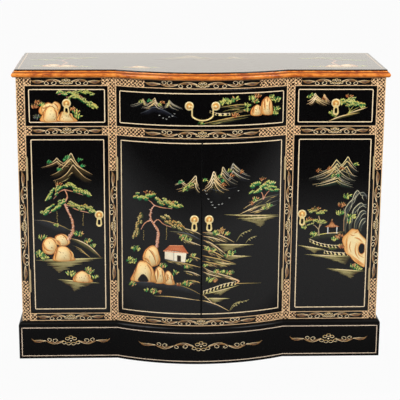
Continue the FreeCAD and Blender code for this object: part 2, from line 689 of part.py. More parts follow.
def bail_handle():
    """Round rod bent to a flat bow, with a pin at each end."""
    ball = bail_ball()
    corner_x = BAIL_ARM_X - BAIL_CORNER_RADIUS
    # The bottom arc is tangent to both corner arcs and passes through the lowest point
    depth = BAIL_DROP - BAIL_CORNER_RADIUS
    sink = (corner_x ** 2 + BAIL_ARM_LENGTH ** 2 - depth ** 2) / (2 * (depth - BAIL_ARM_LENGTH))
    bottom_radius = BAIL_DROP + sink
    angle = math.atan2(BAIL_ARM_LENGTH + sink, corner_x)
    meet = (bottom_radius * math.cos(angle), sink - bottom_radius * math.sin(angle))
    half_turn = angle / 2
    corner_middle = (corner_x + BAIL_CORNER_RADIUS * math.cos(half_turn),
                     -BAIL_ARM_LENGTH - BAIL_CORNER_RADIUS * math.sin(half_turn))
    arm_end = (BAIL_ARM_X, -BAIL_ARM_LENGTH)

    def place(x, z):
        return Vector(x, ball.y, ball.z + z)

    def reflect(stretch):
        return [(-x, z) for x, z in reversed(stretch)]

    arm = [(BAIL_ARM_X, 0), arm_end]
    corner = [arm_end, corner_middle, meet]
    bottom = [meet, (0, -BAIL_DROP), (-meet[0], meet[1])]
    route = [arm, corner, bottom, reflect(corner), reflect(arm)]
    path = Part.Wire([edge_through([place(*point) for point in stretch]) for stretch in route])
    section = Part.Wire(Part.makeCircle(BAIL_ROD_RADIUS, place(BAIL_ARM_X, 0), Z_AXIS))
    rod = path.makePipeShell([section], True, False)
    fittings = []
    for side in (-1, 1):
        pin_end = -side * (ball.x + BAIL_PIN_BEYOND)
        fittings.append(Part.makeSphere(BAIL_EYE_RADIUS, place(side * BAIL_ARM_X, 0)))
        fittings.append(rod_x(BAIL_PIN_RADIUS, side * BAIL_ARM_X, pin_end, ball.y, ball.z))
    return joined(rod, fittings)


# Doors

def catch_pair(x, back_y):
    """Catch under the divider and its strike on the door, with the door's back at back_y."""
    strike_top = DOOR_TOP - STRIKE_BELOW_EDGE
    strike_y = back_y + STRIKE_THICK
    strike = box(x - STRIKE_LENGTH / 2, x + STRIKE_LENGTH / 2, back_y - STRIKE_THICK, strike_y,
                 strike_top - STRIKE_HEIGHT, strike_top)
    catch_y = strike_y + CATCH_GAP
    catch = box(x - CATCH_LENGTH / 2, x + CATCH_LENGTH / 2, catch_y, catch_y + CATCH_DEPTH,
                DIVIDER_BOTTOM - CATCH_HEIGHT, DIVIDER_BOTTOM)
    uprights = [edge for edge in catch.Edges if edge.BoundBox.ZLength > CATCH_HEIGHT / 2]
    return catch.makeFillet(CATCH_ROUND, uprights), strike


def door_hinge_leaves(opening_edge):
    """The two leaves on a door's edge."""
    leaf = hinge_leaf(1, range(1, KNUCKLES, 2), range(0, KNUCKLES, 2), DOOR_BORE)
    return at_hinges(leaf, hinge_axis_x(opening_edge))


def hung(panel, opening_edge):
    """Door panel with its hinge recesses and room for the barrels."""
    barrel = Part.makeCylinder(BARREL_RELIEF, HINGE_HEIGHT, Vector(0, 0, -HINGE_HEIGHT / 2))
    cutters = at_hinges(hinge_mortise(1), hinge_axis_x(opening_edge))
    cutters += at_hinges(barrel, hinge_axis_x(opening_edge))
    return panel.cut(cutters)


def side_door():
    """Flat left door: panel, hinge leaves, catch, strike, rosette and drop."""
    hinge_edge = -BAY_OUTER + HINGE_GAP
    free_edge = -BAY_INNER - FRONT_GAP
    slab = box(hinge_edge, free_edge, FACE_Y, FRAME_BACK_Y, DOOR_BOTTOM, DOOR_TOP)
    panel = hung(rounded_front(slab, FRONT_EDGE_ROUND), -BAY_OUTER)
    catch, strike = catch_pair(free_edge - CATCH_INSET - CATCH_LENGTH / 2, FRAME_BACK_Y)
    pull_x = free_edge - SIDE_DOOR_PULL_INSET
    return {
        "panel": panel,
        "hinge_leaves": Part.makeCompound(door_hinge_leaves(-BAY_OUTER)),
        "catch": catch,
        "catch_strike": strike.cut(panel),
        "pull_rosette": on_face(drop_rosette(), pull_x, DOOR_PULL_LEVEL).cut(panel),
        "drop_pull": on_face(drop_pull(), pull_x, DOOR_PULL_LEVEL),
    }


def centre_door():
    """Bowed left door of the middle pair, with the same pieces."""
    hinge_edge = -CENTRE_HALF + HINGE_GAP
    free_edge = -FRONT_GAP / 2
    slab = bow_slab(hinge_edge, free_edge, 0.0, -BOW_THICK, DOOR_BOTTOM, DOOR_TOP)
    edges = [edge for edge in slab.Edges if is_on_bow(edge)]
    panel = hung(slab.makeFillet(FRONT_EDGE_ROUND, edges), -CENTRE_HALF)
    catch_x = free_edge - CATCH_INSET - CATCH_LENGTH / 2
    nearest = bow_y(catch_x - CATCH_LENGTH / 2, -BOW_THICK)
    catch, strike = catch_pair(catch_x, nearest)
    return {
        "panel": panel,
        "hinge_leaves": Part.makeCompound(door_hinge_leaves(-CENTRE_HALF)),
        "catch": catch,
        "catch_strike": strike.cut(panel),
        "pull_rosette": on_bow(drop_rosette(), -CENTRE_DOOR_PULL_X, DOOR_PULL_LEVEL).cut(panel),
        "drop_pull": on_bow(drop_pull(), -CENTRE_DOOR_PULL_X, DOOR_PULL_LEVEL),
    }


def is_on_bow(edge):
    """Whether both ends of an edge lie on the bowed face."""
    return all(abs(vertex.Y - bow_y(vertex.X)) < POINT_TOLERANCE for vertex in edge.Vertexes)


def door_nodes():
    """All four doors, and their catches as one group on the carcase."""
    nodes = {}
    catches = []
    for make, left, right in ((side_door, "left", "right"), (centre_door, "centre_left", "centre_right")):
        pieces = make()
        catches.append(pieces.pop("catch"))
        for name, shape in pieces.items():
            nodes[f"door_{left}_{name}"] = shape
            nodes[f"door_{right}_{name}"] = mirrored(shape)
    nodes["door_catches"] = Part.makeCompound(both_sides(catches))
    return nodes


# Drawers

def drawer_box(x0, x1, y_front, trim):
    """Two sides, a back and a bottom held in grooves, trimmed to the back of the drawer front."""
    y_back = FRAME_BACK_Y + DRAWER_BOX_LENGTH
    low = DRAWER_BOX_BOTTOM
    high = DRAWER_BOX_TOP
    bottom_low = low + DRAWER_BOTTOM_RAISE
    bottom_high = bottom_low + DRAWER_BOTTOM_THICK
    inner0 = x0 + DRAWER_BOARD
    inner1 = x1 - DRAWER_BOARD
    bottom = box(inner0 - DRAWER_GROOVE, inner1 + DRAWER_GROOVE, y_front - DRAWER_GROOVE, y_back,
                 bottom_low, bottom_high)
    bottom = bottom.common(trim(DRAWER_GROOVE))
    sides = [box(x0, inner0, y_front, y_back, low, high), box(inner1, x1, y_front, y_back, low, high)]
    sides = [side.cut(bottom).common(trim(0.0)) for side in sides]
    back = box(inner0, inner1, y_back - DRAWER_BOARD, y_back, bottom_high, high)
    return sides + [back, bottom], bottom


def side_drawer():
    """Left drawer: flat front, box, rosette and drop."""
    slab = box(-BAY_OUTER + FRONT_GAP, -BAY_INNER - FRONT_GAP, FACE_Y, FRAME_BACK_Y, DRAWER_BOTTOM, DRAWER_TOP)
    x0 = -BAY_OUTER + DRAWER_SIDE_PLAY
    x1 = -BAY_INNER - DRAWER_SIDE_PLAY

    def behind_front(sunk):
        return box(x0, x1, FRAME_BACK_Y - sunk, BODY_BACK_Y, DRAWER_BOX_BOTTOM, DRAWER_BOX_TOP)

    boards, bottom = drawer_box(x0, x1, FRAME_BACK_Y, behind_front)
    front = rounded_front(slab, FRONT_EDGE_ROUND).cut(bottom)
    middle = -(BAY_OUTER + BAY_INNER) / 2
    return {
        "front": front,
        "box": Part.makeCompound(boards),
        "pull_rosette": on_face(drop_rosette(), middle, DRAWER_PULL_LEVEL).cut(front),
        "drop_pull": on_face(drop_pull(), middle, DRAWER_PULL_LEVEL),
    }


def centre_drawer():
    """Middle drawer: bowed front, box that fills the bow, two posts and the bail."""
    half = CENTRE_HALF - FRONT_GAP
    slab = bow_slab(-half, half, 0.0, -BOW_THICK, DRAWER_BOTTOM, DRAWER_TOP)
    edges = [edge for edge in slab.Edges if is_on_bow(edge)]

    def behind_front(sunk):
        radius = BOW_INNER_RADIUS + sunk
        height = DRAWER_BOX_TOP - DRAWER_BOX_BOTTOM
        return Part.makeCylinder(radius, height, Vector(0, BOW_CENTRE_Y, DRAWER_BOX_BOTTOM))

    boards, bottom = drawer_box(-CENTRE_BOX_HALF, CENTRE_BOX_HALF, FACE_Y - BOW_RISE, behind_front)
    front = slab.makeFillet(FRONT_EDGE_ROUND, edges).cut(bottom)
    ball = bail_ball()
    hole = rod_x(BAIL_HOLE_RADIUS, ball.x - BAIL_HOLE_BEYOND, -BAIL_ARM_X, ball.y, ball.z)
    post = on_bow(bail_post(), -BAIL_POST_X, BAIL_LEVEL).cut([front, hole])
    return {
        "front": front,
        "box": Part.makeCompound(boards),
        "pull_rosettes": Part.makeCompound(both_sides([post])),
        "bail_pull": bail_handle(),
    }


def drawer_nodes():
    """The three drawers."""
    nodes = {}
    for name, shape in side_drawer().items():
        nodes[f"drawer_left_{name}"] = shape
        nodes[f"drawer_right_{name}"] = mirrored(shape)
    for name, shape in centre_drawer().items():
        nodes[f"drawer_centre_{name}"] = shape
    return nodes


def main():
    """Write one file per piece or group of like pieces."""
    os.makedirs("parts", exist_ok=True)
    makers = (top_nodes, plinth_nodes, carcase_nodes, drawer_track_nodes, hinge_nodes,
              face_frame_nodes, door_nodes, drawer_nodes)
    for make in makers:
        for name, shape in make().items():
            shape.exportStep(f"parts/{name}.step")


main()
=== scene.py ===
import json
import math
import random

import bpy
from mathutils import Matrix, Vector


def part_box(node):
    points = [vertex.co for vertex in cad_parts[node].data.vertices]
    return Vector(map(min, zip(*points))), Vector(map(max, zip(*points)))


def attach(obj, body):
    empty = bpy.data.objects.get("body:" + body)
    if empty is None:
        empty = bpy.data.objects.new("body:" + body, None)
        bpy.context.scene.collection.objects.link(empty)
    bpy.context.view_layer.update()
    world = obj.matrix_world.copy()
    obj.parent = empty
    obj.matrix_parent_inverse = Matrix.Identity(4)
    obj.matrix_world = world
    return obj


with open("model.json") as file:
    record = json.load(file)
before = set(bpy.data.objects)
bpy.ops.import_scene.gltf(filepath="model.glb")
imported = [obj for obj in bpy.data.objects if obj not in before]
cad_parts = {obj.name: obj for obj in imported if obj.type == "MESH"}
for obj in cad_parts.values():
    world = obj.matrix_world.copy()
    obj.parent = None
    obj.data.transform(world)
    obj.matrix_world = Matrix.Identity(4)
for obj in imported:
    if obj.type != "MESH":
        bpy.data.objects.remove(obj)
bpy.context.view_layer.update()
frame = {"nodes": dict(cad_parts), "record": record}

MM = 0.001

# Sizes of the sideboard in millimetres
FACE_Y = -136.0
BOW_RISE = 60.0
CENTRE_HALF = 258.0
BOW_RADIUS = (CENTRE_HALF ** 2 + BOW_RISE ** 2) / (2 * BOW_RISE)
BOW_CENTRE_Y = FACE_Y - BOW_RISE + BOW_RADIUS
BODY_HALF = 558.0
PLINTH_OUT = 12.0
RIM_OUT = 3.0
TOP_LEVEL = 918.0
TOP_BACK_Y = 208.0
SIDE_MIDDLE_Y = 40.0
MOULDING_HOLLOW = 909.2
ROSETTE_RADIUS = 13.5

# Middles of the face frame's bands and of the side bays
OUTER_STILE = 545.0
INNER_STILE = 270.5
BOTTOM_RAIL = 134.5
MIDDLE_RAIL = 731.0
TOP_RAIL = 881.25
SIDE_BAY = 407.5


def linear(red, green, blue):
    """Colour as it is mixed by light, from values of 0 to 255 as they are seen."""
    seen = [value / 255 for value in (red, green, blue)]
    return tuple(v / 12.92 if v <= 0.04045 else ((v + 0.055) / 1.055) ** 2.4 for v in seen)


def opaque(colour):
    """Colour with full cover."""
    return (*colour, 1.0)


# Finishes


class Socket:
    """Output of a shader node that can stand in sums and products."""

    def __init__(self, nodes, output):
        self.nodes = nodes
        self.output = output

    def __add__(self, other):
        return self.nodes.maths("ADD", self, other)

    __radd__ = __add__

    def __sub__(self, other):
        return self.nodes.maths("SUBTRACT", self, other)

    def __rsub__(self, other):
        return self.nodes.maths("SUBTRACT", other, self)

    def __mul__(self, other):
        return self.nodes.maths("MULTIPLY", self, other)

    __rmul__ = __mul__

    def __abs__(self):
        return self.nodes.maths("ABSOLUTE", self)

    def above(self, limit, soft):
        """1 where the value is over a limit, 0 below it, with a soft step between."""
        sockets = {"Value": self, "From Min": limit - soft, "From Max": limit + soft}
        return self.nodes.node("ShaderNodeMapRange", {"interpolation_type": "SMOOTHSTEP"}, sockets)

    def below(self, limit, soft):
        return 1 - self.above(limit, soft)


def set_stops(ramp, stops):
    """Places and colours along a colour ramp."""
    while len(ramp.elements) < len(stops):
        ramp.elements.new(0.5)
    for element, (place, colour) in zip(ramp.elements, stops):
        element.position = place
        element.color = opaque(colour)


class Nodes:
    """Shader nodes of a material or of the surroundings."""

    def __init__(self, owner):
        owner.use_nodes = True
        self.tree = owner.node_tree

    def node(self, kind, settings, inputs, output=0):
        """New node: its settings first, then values or links of its sockets."""
        made = self.tree.nodes.new(kind)
        for key, value in settings.items():
            if key == "stops":
                set_stops(made.color_ramp, value)
            else:
                setattr(made, key, value)
        for key, value in inputs.items():
            self.feed(made.inputs[key], value)
        return Socket(self, made.outputs[output])

    def feed(self, socket, value):
        if isinstance(value, Socket):
            self.tree.links.new(value.output, socket)
        else:
            socket.default_value = value

    def maths(self, operation, *values):
        return self.node("ShaderNodeMath", {"operation": operation}, dict(enumerate(values)))

    def coordinates(self, kind):
        return self.node("ShaderNodeTexCoord", {}, {}, kind)

    def axes(self, place):
        """The three measures of a place or a direction, each on its own."""
        split = self.node("ShaderNodeSeparateXYZ", {}, {0: place}).output.node
        return [Socket(self, output) for output in split.outputs]

    def rays(self):
        """Three switches, for rays from the eye, from polish and through glass."""
        path = self.node("ShaderNodeLightPath", {}, {}).output.node
        names = ("Is Camera Ray", "Is Glossy Ray", "Is Transmission Ray")
        return [Socket(self, path.outputs[name]) for name in names]

    def ramp(self, value, stops):
        return self.node("ShaderNodeValToRGB", {"stops": stops}, {0: value})

    def mix(self, share, first, second, blend="MIX"):
        """Colour between two colours."""
        settings = {"data_type": "RGBA", "blend_type": blend}
        first = opaque(first) if isinstance(first, tuple) else first
        second = opaque(second) if isinstance(second, tuple) else second
        return self.node("ShaderNodeMix", settings, {0: share, 6: first, 7: second}, 2)


class Finish(Nodes):
    """A material, built up round its one shader."""

    def __init__(self, name):
        self.material = bpy.data.materials.new(name)
        super().__init__(self.material)
        self.shader = self.tree.nodes["Principled BSDF"]

    def place(self):
        return self.coordinates("Object")

    def stretched(self, place, scale):
        return self.node("ShaderNodeMapping", {}, {"Vector": place, "Scale": scale})

    def noise(self, place, scale, detail=4.0, rough=0.55, distortion=0.0):
        return self.node("ShaderNodeTexNoise", {}, {
            "Vector": place, "Scale": scale, "Detail": detail, "Roughness": rough, "Distortion": distortion,
        })

    def put(self, name, value):
        """Value or link on the material's own shader."""
        self.feed(self.shader.inputs[name], value)

    def bump(self, height, strength, distance):
        sockets = {"Height": height, "Strength": strength, "Distance": distance}
        self.put("Normal", self.node("ShaderNodeBump", {}, sockets))


def polish(finish, weight=0.65, rough=0.05, shine=0.1):
    """Clear polished coat over a painted or stained ground."""
    finish.put("Coat Weight", weight)
    finish.put("Coat Roughness", rough)
    finish.put("Coat IOR", 1.5)
    finish.put("Specular IOR Level", shine)


def lacquer_skin(finish, place, rough, weight):
    """Polished skin that is slightly uneven."""
    finish.put("Roughness", rough + 0.1 * finish.noise(place, 55.0, 3.0))
    finish.bump(finish.noise(place, 24.0, 2.0), 0.05, 0.0006)
    polish(finish, weight)


def brass_skin(finish, place, patch, metal, rough, spread):
    """Bright skin of cast brass, uneven where its patches are."""
    finish.put("Metallic", metal)
    finish.put("Roughness", rough + spread * finish.noise(place, 300.0, 3.0))
    finish.bump(patch, 0.05, 0.0003)


def lacquer(name, tone, warm, rough, weight=0.65):
    """Polished black lacquer with faint clouds."""
    finish = Finish(name)
    place = finish.place()
    cloud = finish.noise(place, 9.0)
    finish.put("Base Color", finish.mix(cloud, tone, warm))
    lacquer_skin(finish, place, rough, weight)
    return finish.material


def fret(name, upright, centre, half, fields):
    """Brown band with a net of pale studs, pale edge lines, and black fields for the scrolls.

    It runs up or across, and its fields are stretches along it, in millimetres. Its sides are black."""
    finish = Finish(name)
    place = finish.place()
    x, _, z = finish.axes(place)
    if upright:
        offset = abs(x) - centre * MM
        along = z
    else:
        offset = z - centre * MM
        along = abs(x)
    pitch = 0.0112
    waver = 0.011
    wander = finish.noise(place, 120.0, 2.0) - 0.5
    drift = finish.noise(place, 165.0, 2.0) - 0.5
    column = finish.maths("COSINE", (offset + wander * waver) * (math.tau / pitch))
    row = finish.maths("COSINE", (along + drift * waver) * (math.tau / pitch))
    uneven = finish.noise(place, 240.0, 2.0) - 0.5
    studs = (column * row + uneven * 1.3).above(0.1, 0.26)
    grain = finish.noise(place, 330.0, 3.0)
    blush = finish.noise(place, 42.0, 2.0)
    brown = finish.mix(grain, linear(18, 9, 5), linear(74, 43, 27))
    warm = finish.mix(blush, linear(236, 168, 110), linear(238, 186, 116))
    cream = finish.mix(grain, warm, linear(255, 228, 184))
    net = finish.mix(studs, brown, cream)
    inside = 0.0
    for low, high in fields:
        middle = (low + high) / 2 * MM
        reach = (high - low) / 2 * MM
        inside = abs(along - middle).below(reach, 0.0002) + inside
    black = linear(13, 10, 9)
    ground = finish.mix(inside, net, black)
    edge = abs(offset).above((half - 2.0) * MM, 0.0003)
    line = finish.mix(grain, linear(222, 172, 122), linear(255, 222, 176))
    facing = finish.axes(finish.coordinates("Normal"))[1]
    front = facing.below(-0.5, 0.1)
    finish.put("Base Color", finish.mix(front, black, finish.mix(edge, ground, line)))
    finish.put("Roughness", 0.32 + 0.2 * grain)
    finish.bump(grain, 0.06, 0.0004)
    polish(finish)
    return finish.material


def burl(name):
    """Orange-brown figured veneer under polish, with painted shade darkening the moulding's hollow."""
    finish = Finish(name)
    place = finish.place()
    cloud = finish.noise(place, 14.0, 5.0, 0.6, 1.4)
    flame = finish.noise(finish.stretched(place, (0.35, 1.0, 2.2)), 60.0, 6.0, 0.62, 2.0)
    fleck = finish.noise(place, 420.0, 2.0)
    figure = cloud * 0.55 + flame * 0.6 + fleck * 0.12 - 0.12
    veneer = finish.ramp(figure, [
        (0.30, linear(104, 40, 4)),
        (0.44, linear(178, 82, 14)),
        (0.56, linear(236, 136, 44)),
        (0.72, linear(255, 178, 86)),
    ])
    height = finish.axes(place)[2]
    # painted shade: the veneer is darkened along the groove between cove and torus, where shade falls
    hollow = abs(height - MOULDING_HOLLOW * MM).below(0.0017, 0.0009)
    finish.put("Base Color", finish.mix(hollow * 0.8, veneer, linear(122, 50, 6)))
    finish.put("Roughness", 0.3 + 0.15 * flame)
    finish.bump(flame, 0.08, 0.0005)
    polish(finish, 0.4, 0.1, 0.3)
    return finish.material


def brass(name):
    """Polished brass with faint tarnish in patches."""
    finish = Finish(name)
    place = finish.place()
    patch = finish.noise(place, 120.0, 4.0)
    finish.put("Base Color", finish.mix(patch, linear(254, 214, 126), linear(255, 240, 182)))
    brass_skin(finish, place, patch, 0.3, 0.26, 0.16)
    return finish.material


def rosette(name, node):
    """Brass plate of a pull: a pale bead round an orange recess of painted shade, with a pale hub."""
    low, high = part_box(node)
    radius = ROSETTE_RADIUS * MM
    hub = 0.0034
    bead = 0.0088
    finish = Finish(name)
    place = finish.place()
    x, _, z = finish.axes(place)
    paired = high[0] - low[0] > 4 * radius
    across = abs(x) - (high[0] - radius) if paired else x - (low[0] + high[0]) / 2
    rise = z - (low[2] + high[2]) / 2
    far = finish.maths("SQRT", across * across + rise * rise)
    # painted shade: the sunken ring between hub and bead is coloured darker orange, as shade in the recess
    recess_painted_shade = far.above(hub, 0.0006) * far.below(bead, 0.0008)
    patch = finish.noise(place, 120.0, 4.0)
    pale = finish.mix(patch, linear(254, 222, 146), linear(255, 244, 200))
    finish.put("Base Color", finish.mix(recess_painted_shade, pale, linear(240, 184, 96)))
    brass_skin(finish, place, patch, 0.35, 0.24, 0.14)
    return finish.material


def plain_wood(name, light, dark):
    """Bare drawer wood with straight grain along the depth."""
    finish = Finish(name)
    place = finish.place()
    grain = finish.noise(finish.stretched(place, (9.0, 0.6, 9.0)), 24.0, 6.0, 0.6, 0.6)
    finish.put("Base Color", finish.mix(grain, light, dark))
    finish.put("Roughness", 0.5 + 0.2 * grain)
    finish.bump(grain, 0.15, 0.0004)
    return finish.material


def dull(name, tone, other, metal, rough):
    """Small hardware: hinge leaves, steel plates and moulded catches."""
    finish = Finish(name)
    place = finish.place()
    speck = finish.noise(place, 260.0, 3.0)
    finish.put("Base Color", finish.mix(speck, tone, other))
    finish.put("Metallic", metal)
    finish.put("Roughness", rough + 0.15 * speck)
    finish.bump(speck, 0.08, 0.0002)
    return finish.material


def pigment_finish(name, weight):
    """Painter's colours in raised lacquer, laid on with a brush and varnished."""
    finish = Finish(name)
    place = finish.place()
    colour = finish.node("ShaderNodeAttribute", {"attribute_name": "pigment"}, {}, "Color")
    cloud = finish.noise(place, 260.0, 4.0)
    shade = finish.ramp(cloud, [(0.3, (0.86, 0.86, 0.86)), (0.7, (1.0, 1.0, 1.0))])
    finish.put("Base Color", finish.mix(0.8, colour, shade, "MULTIPLY"))
    lacquer_skin(finish, place, 0.22, weight)
    return finish.material


LACQUER = lacquer("black_lacquer", (0.0012, 0.0010, 0.0011), (0.0020, 0.0017, 0.0018), 0.22)
TOP_LACQUER = lacquer("top_lacquer", (0.0020, 0.0018, 0.0018), (0.0032, 0.0028, 0.0026), 0.2, 1.0)
MOULDING_LACQUER = lacquer("moulding_lacquer", (0.0010, 0.0009, 0.0009), (0.0018, 0.0015, 0.0015), 0.3, 0.1)
INNER = lacquer("inner_lacquer", (0.012, 0.010, 0.009), (0.022, 0.018, 0.015), 0.4)
PAINT = pigment_finish("painters_colours", 0.65)
TOP_PAINT = pigment_finish("painters_colours_on_top", 1.0)
HINGE_BRASS = dull("hinge_brass", linear(190, 164, 118), linear(224, 200, 154), 0.15, 0.38)
SLOT_FINISHES = {
    "black_lacquer": LACQUER,
    "inner_lacquer": INNER,
    "burl_wood": burl("burl_moulding"),
    "bare_wood": plain_wood("drawer_wood", linear(188, 146, 96), linear(150, 104, 60)),
    "brass": brass("polished_brass"),
    "steel": dull("strike_steel", (0.45, 0.45, 0.46), (0.6, 0.6, 0.61), 1.0, 0.3),
    "catch_plastic": dull("catch_case", (0.02, 0.016, 0.013), (0.035, 0.028, 0.022), 0.0, 0.45),
}
OWN_FINISHES = {"top_panel": TOP_LACQUER, "plinth_moulding": MOULDING_LACQUER}
STILE_FIELD = [(254, 606)]
RAIL_FIELDS = [(-173, 173), (302, 513)]
FRAME_FINISHES = {
    "stile_outer": fret("outer_stile_fret", True, OUTER_STILE, 13.0, STILE_FIELD),
    "stile_inner": fret("inner_stile_fret", True, INNER_STILE, 12.5, STILE_FIELD),
    "bottom_rail": fret("bottom_rail_fret", False, BOTTOM_RAIL, 12.5, RAIL_FIELDS),
    "mid_rail": fret("middle_rail_fret", False, MIDDLE_RAIL, 14.0, RAIL_FIELDS),
    "top_rail": fret("top_rail_fret", False, TOP_RAIL, 13.25, RAIL_FIELDS),
}


def dress_nodes():
    """Give every solid its finish, by its material slot in the record."""
    slots = {part["node"]: part["material_slot"] for part in frame["record"]["subparts"]}
    for name, node in frame["nodes"].items():
        finish = OWN_FINISHES.get(name, SLOT_FINISHES[slots[name]])
        for start, band in FRAME_FINISHES.items():
            if name.startswith(start):
                finish = band
        if "hinge" in name:
            finish = HINGE_BRASS
        if "pull_rosette" in name:
            finish = rosette(name.replace("pull_rosette", "rosette_brass"), name)
        node.data.materials.clear()
        node.data.materials.append(finish)


dress_nodes()


# Painter's colours
INK = (0.0016, 0.0014, 0.0015)
LINE_CREAM = linear(255, 238, 206)
LINE_EDGE = linear(248, 212, 164)
CREAM = linear(246, 218, 170)
IVORY = linear(255, 234, 192)
GOLD = linear(222, 184, 112)
OCHRE = linear(192, 134, 66)
UMBER = linear(120, 78, 40)
SEPIA = linear(70, 44, 24)
PINE = linear(16, 86, 46)
FERN = linear(62, 158, 84)
MOSS = linear(128, 148, 66)
LIME = linear(220, 216, 118)
STRAW = linear(242, 224, 150)
SAND = linear(194, 180, 122)
JADE = linear(40, 160, 96)
ROSE = linear(224, 160, 104)
RUST = linear(176, 98, 54)
AMBER = linear(232, 168, 88)
BARK = linear(124, 72, 32)
TAUPE = linear(140, 118, 104)
TAN = linear(196, 152, 108)
SLATE = linear(92, 98, 106)
MIST = linear(52, 54, 58)
CHALK = linear(236, 236, 230)
OLIVE = linear(124, 116, 66)

# Colours of one thing, from its shade to its light
NEEDLES = (PINE, FERN, LIME)
BRIGHT_NEEDLES = (PINE, MOSS, LIME)
DRY_NEEDLES = (linear(52, 66, 34), OLIVE, GOLD)
LEAVES = (PINE, FERN, MOSS, LIME, LIME)
TURNED_LEAVES = (PINE, FERN, MOSS, LIME, ROSE)
RED_LEAVES = (SEPIA, RUST, RUST, ROSE)
JADE_LEAVES = (PINE, JADE, JADE)
ROCK_TONES = (linear(232, 152, 74), linear(246, 188, 112), linear(252, 212, 144), linear(255, 230, 172))

# Colours along one ridge
GILT = [OCHRE, GOLD, CREAM, GOLD, OCHRE]
COOL_GILT = [SLATE, GOLD, CREAM, SLATE]
DUSK = [SLATE, GOLD, OLIVE]
LIT_SLOPE = [OCHRE, CREAM, CREAM, OCHRE]

# Heights of the paint over the lacquer, in millimetres
SUNK = -0.3
FIRST_COAT = 0.08
COAT = 0.06
CROWN = 0.04
APART = 0.002


# Faces that carry paint: width, height and lift in millimetres to a place


def on_flat(u, v, h):
    return (u, FACE_Y - h, v)


def on_bow(u, v, h):
    """Bowed face, with u along its curve."""
    turn = u / BOW_RADIUS
    reach = BOW_RADIUS + h
    return (reach * math.sin(turn), BOW_CENTRE_Y - reach * math.cos(turn), v)


def on_front(out):
    """Straight, bowed and straight face in one, with u straight across it."""
    half = math.sqrt((BOW_RADIUS + out) ** 2 - (BOW_CENTRE_Y - FACE_Y + out) ** 2)

    def place(u, v, h):
        if abs(u) > half:
            return (u, FACE_Y - out - h, v)
        return (u, BOW_CENTRE_Y - math.sqrt((BOW_RADIUS + out + h) ** 2 - u * u), v)

    return place


def on_top(u, v, h):
    return (u, v, TOP_LEVEL + h)


def on_right_side(u, v, h):
    return (BODY_HALF + h, SIDE_MIDDLE_Y + u, v)


def on_left_side(u, v, h):
    return (-BODY_HALF - h, SIDE_MIDDLE_Y - u, v)


# Lines and colours of the brush


def between(values, share):
    """Value at a share of the way along a row of values."""
    spot = share * (len(values) - 1)
    index = min(int(spot), max(len(values) - 2, 0))
    first = values[index]
    second = values[min(index + 1, len(values) - 1)]
    if isinstance(first, tuple):
        return tuple(a + (b - a) * (spot - index) for a, b in zip(first, second))
    return first + (second - first) * (spot - index)


def shaded(tone, share):
    """Colour with a share of its light."""
    return tuple(value * share for value in tone)


def middle_of(points):
    count = len(points)
    return (sum(u for u, v in points) / count, sum(v for u, v in points) / count)


def smooth(points, steps=3, closed=False):
    """Flowing line through points, with some steps from each to the next."""
    count = len(points)
    line = []
    for index in range(count if closed else count - 1):
        if closed:
            ends = [points[(index + shift) % count] for shift in (-1, 0, 1, 2)]
        else:
            ends = [points[min(max(index + shift, 0), count - 1)] for shift in (-1, 0, 1, 2)]
        for step in range(steps):
            t = step / steps
            line.append(tuple(
                b + 0.5 * t * (c - a + t * (2 * a - 5 * b + 4 * c - d + t * (3 * (b - c) + d - a)))
                for a, b, c, d in zip(*ends)
            ))
    return line if closed else line + [points[-1]]


def divided(points, step, closed=False):
    """Line with points added so that none of its runs is longer than a step."""
    line = []
    ends = points[1:] + points[:1] if closed else points[1:]
    for start, end in zip(points, ends):
        parts = max(1, math.ceil(math.dist(start, end) / step))
        line += [between([start, end], part / parts) for part in range(parts)]
    return line if closed else line + [points[-1]]


def leftward(line, closed=False):
    """Directions to the left of a line, at each of its points."""
    found = []
    for index in range(len(line)):
        back = line[index - 1] if index or closed else line[0]
        ahead = line[(index + 1) % len(line)] if index + 1 < len(line) or closed else line[-1]
        run = math.dist(back, ahead) or 1.0
        found.append(((back[1] - ahead[1]) / run, (ahead[0] - back[0]) / run))
    return found


def shifted(line, sides, amounts):
    return [(u + du * far, v + dv * far) for (u, v), (du, dv), far in zip(line, sides, amounts)]


def runs_clockwise(ring):
    return sum(a[0] * b[1] - b[0] * a[1] for a, b in zip(ring, ring[1:] + ring[:1])) < 0


def lightward(middle, spot):
    """How much an edge of a patch looks up and to the left, where the light is."""
    run = math.dist(middle, spot) or 1.0
    return (0.85 * (spot[1] - middle[1]) - 0.5 * (spot[0] - middle[0])) / run


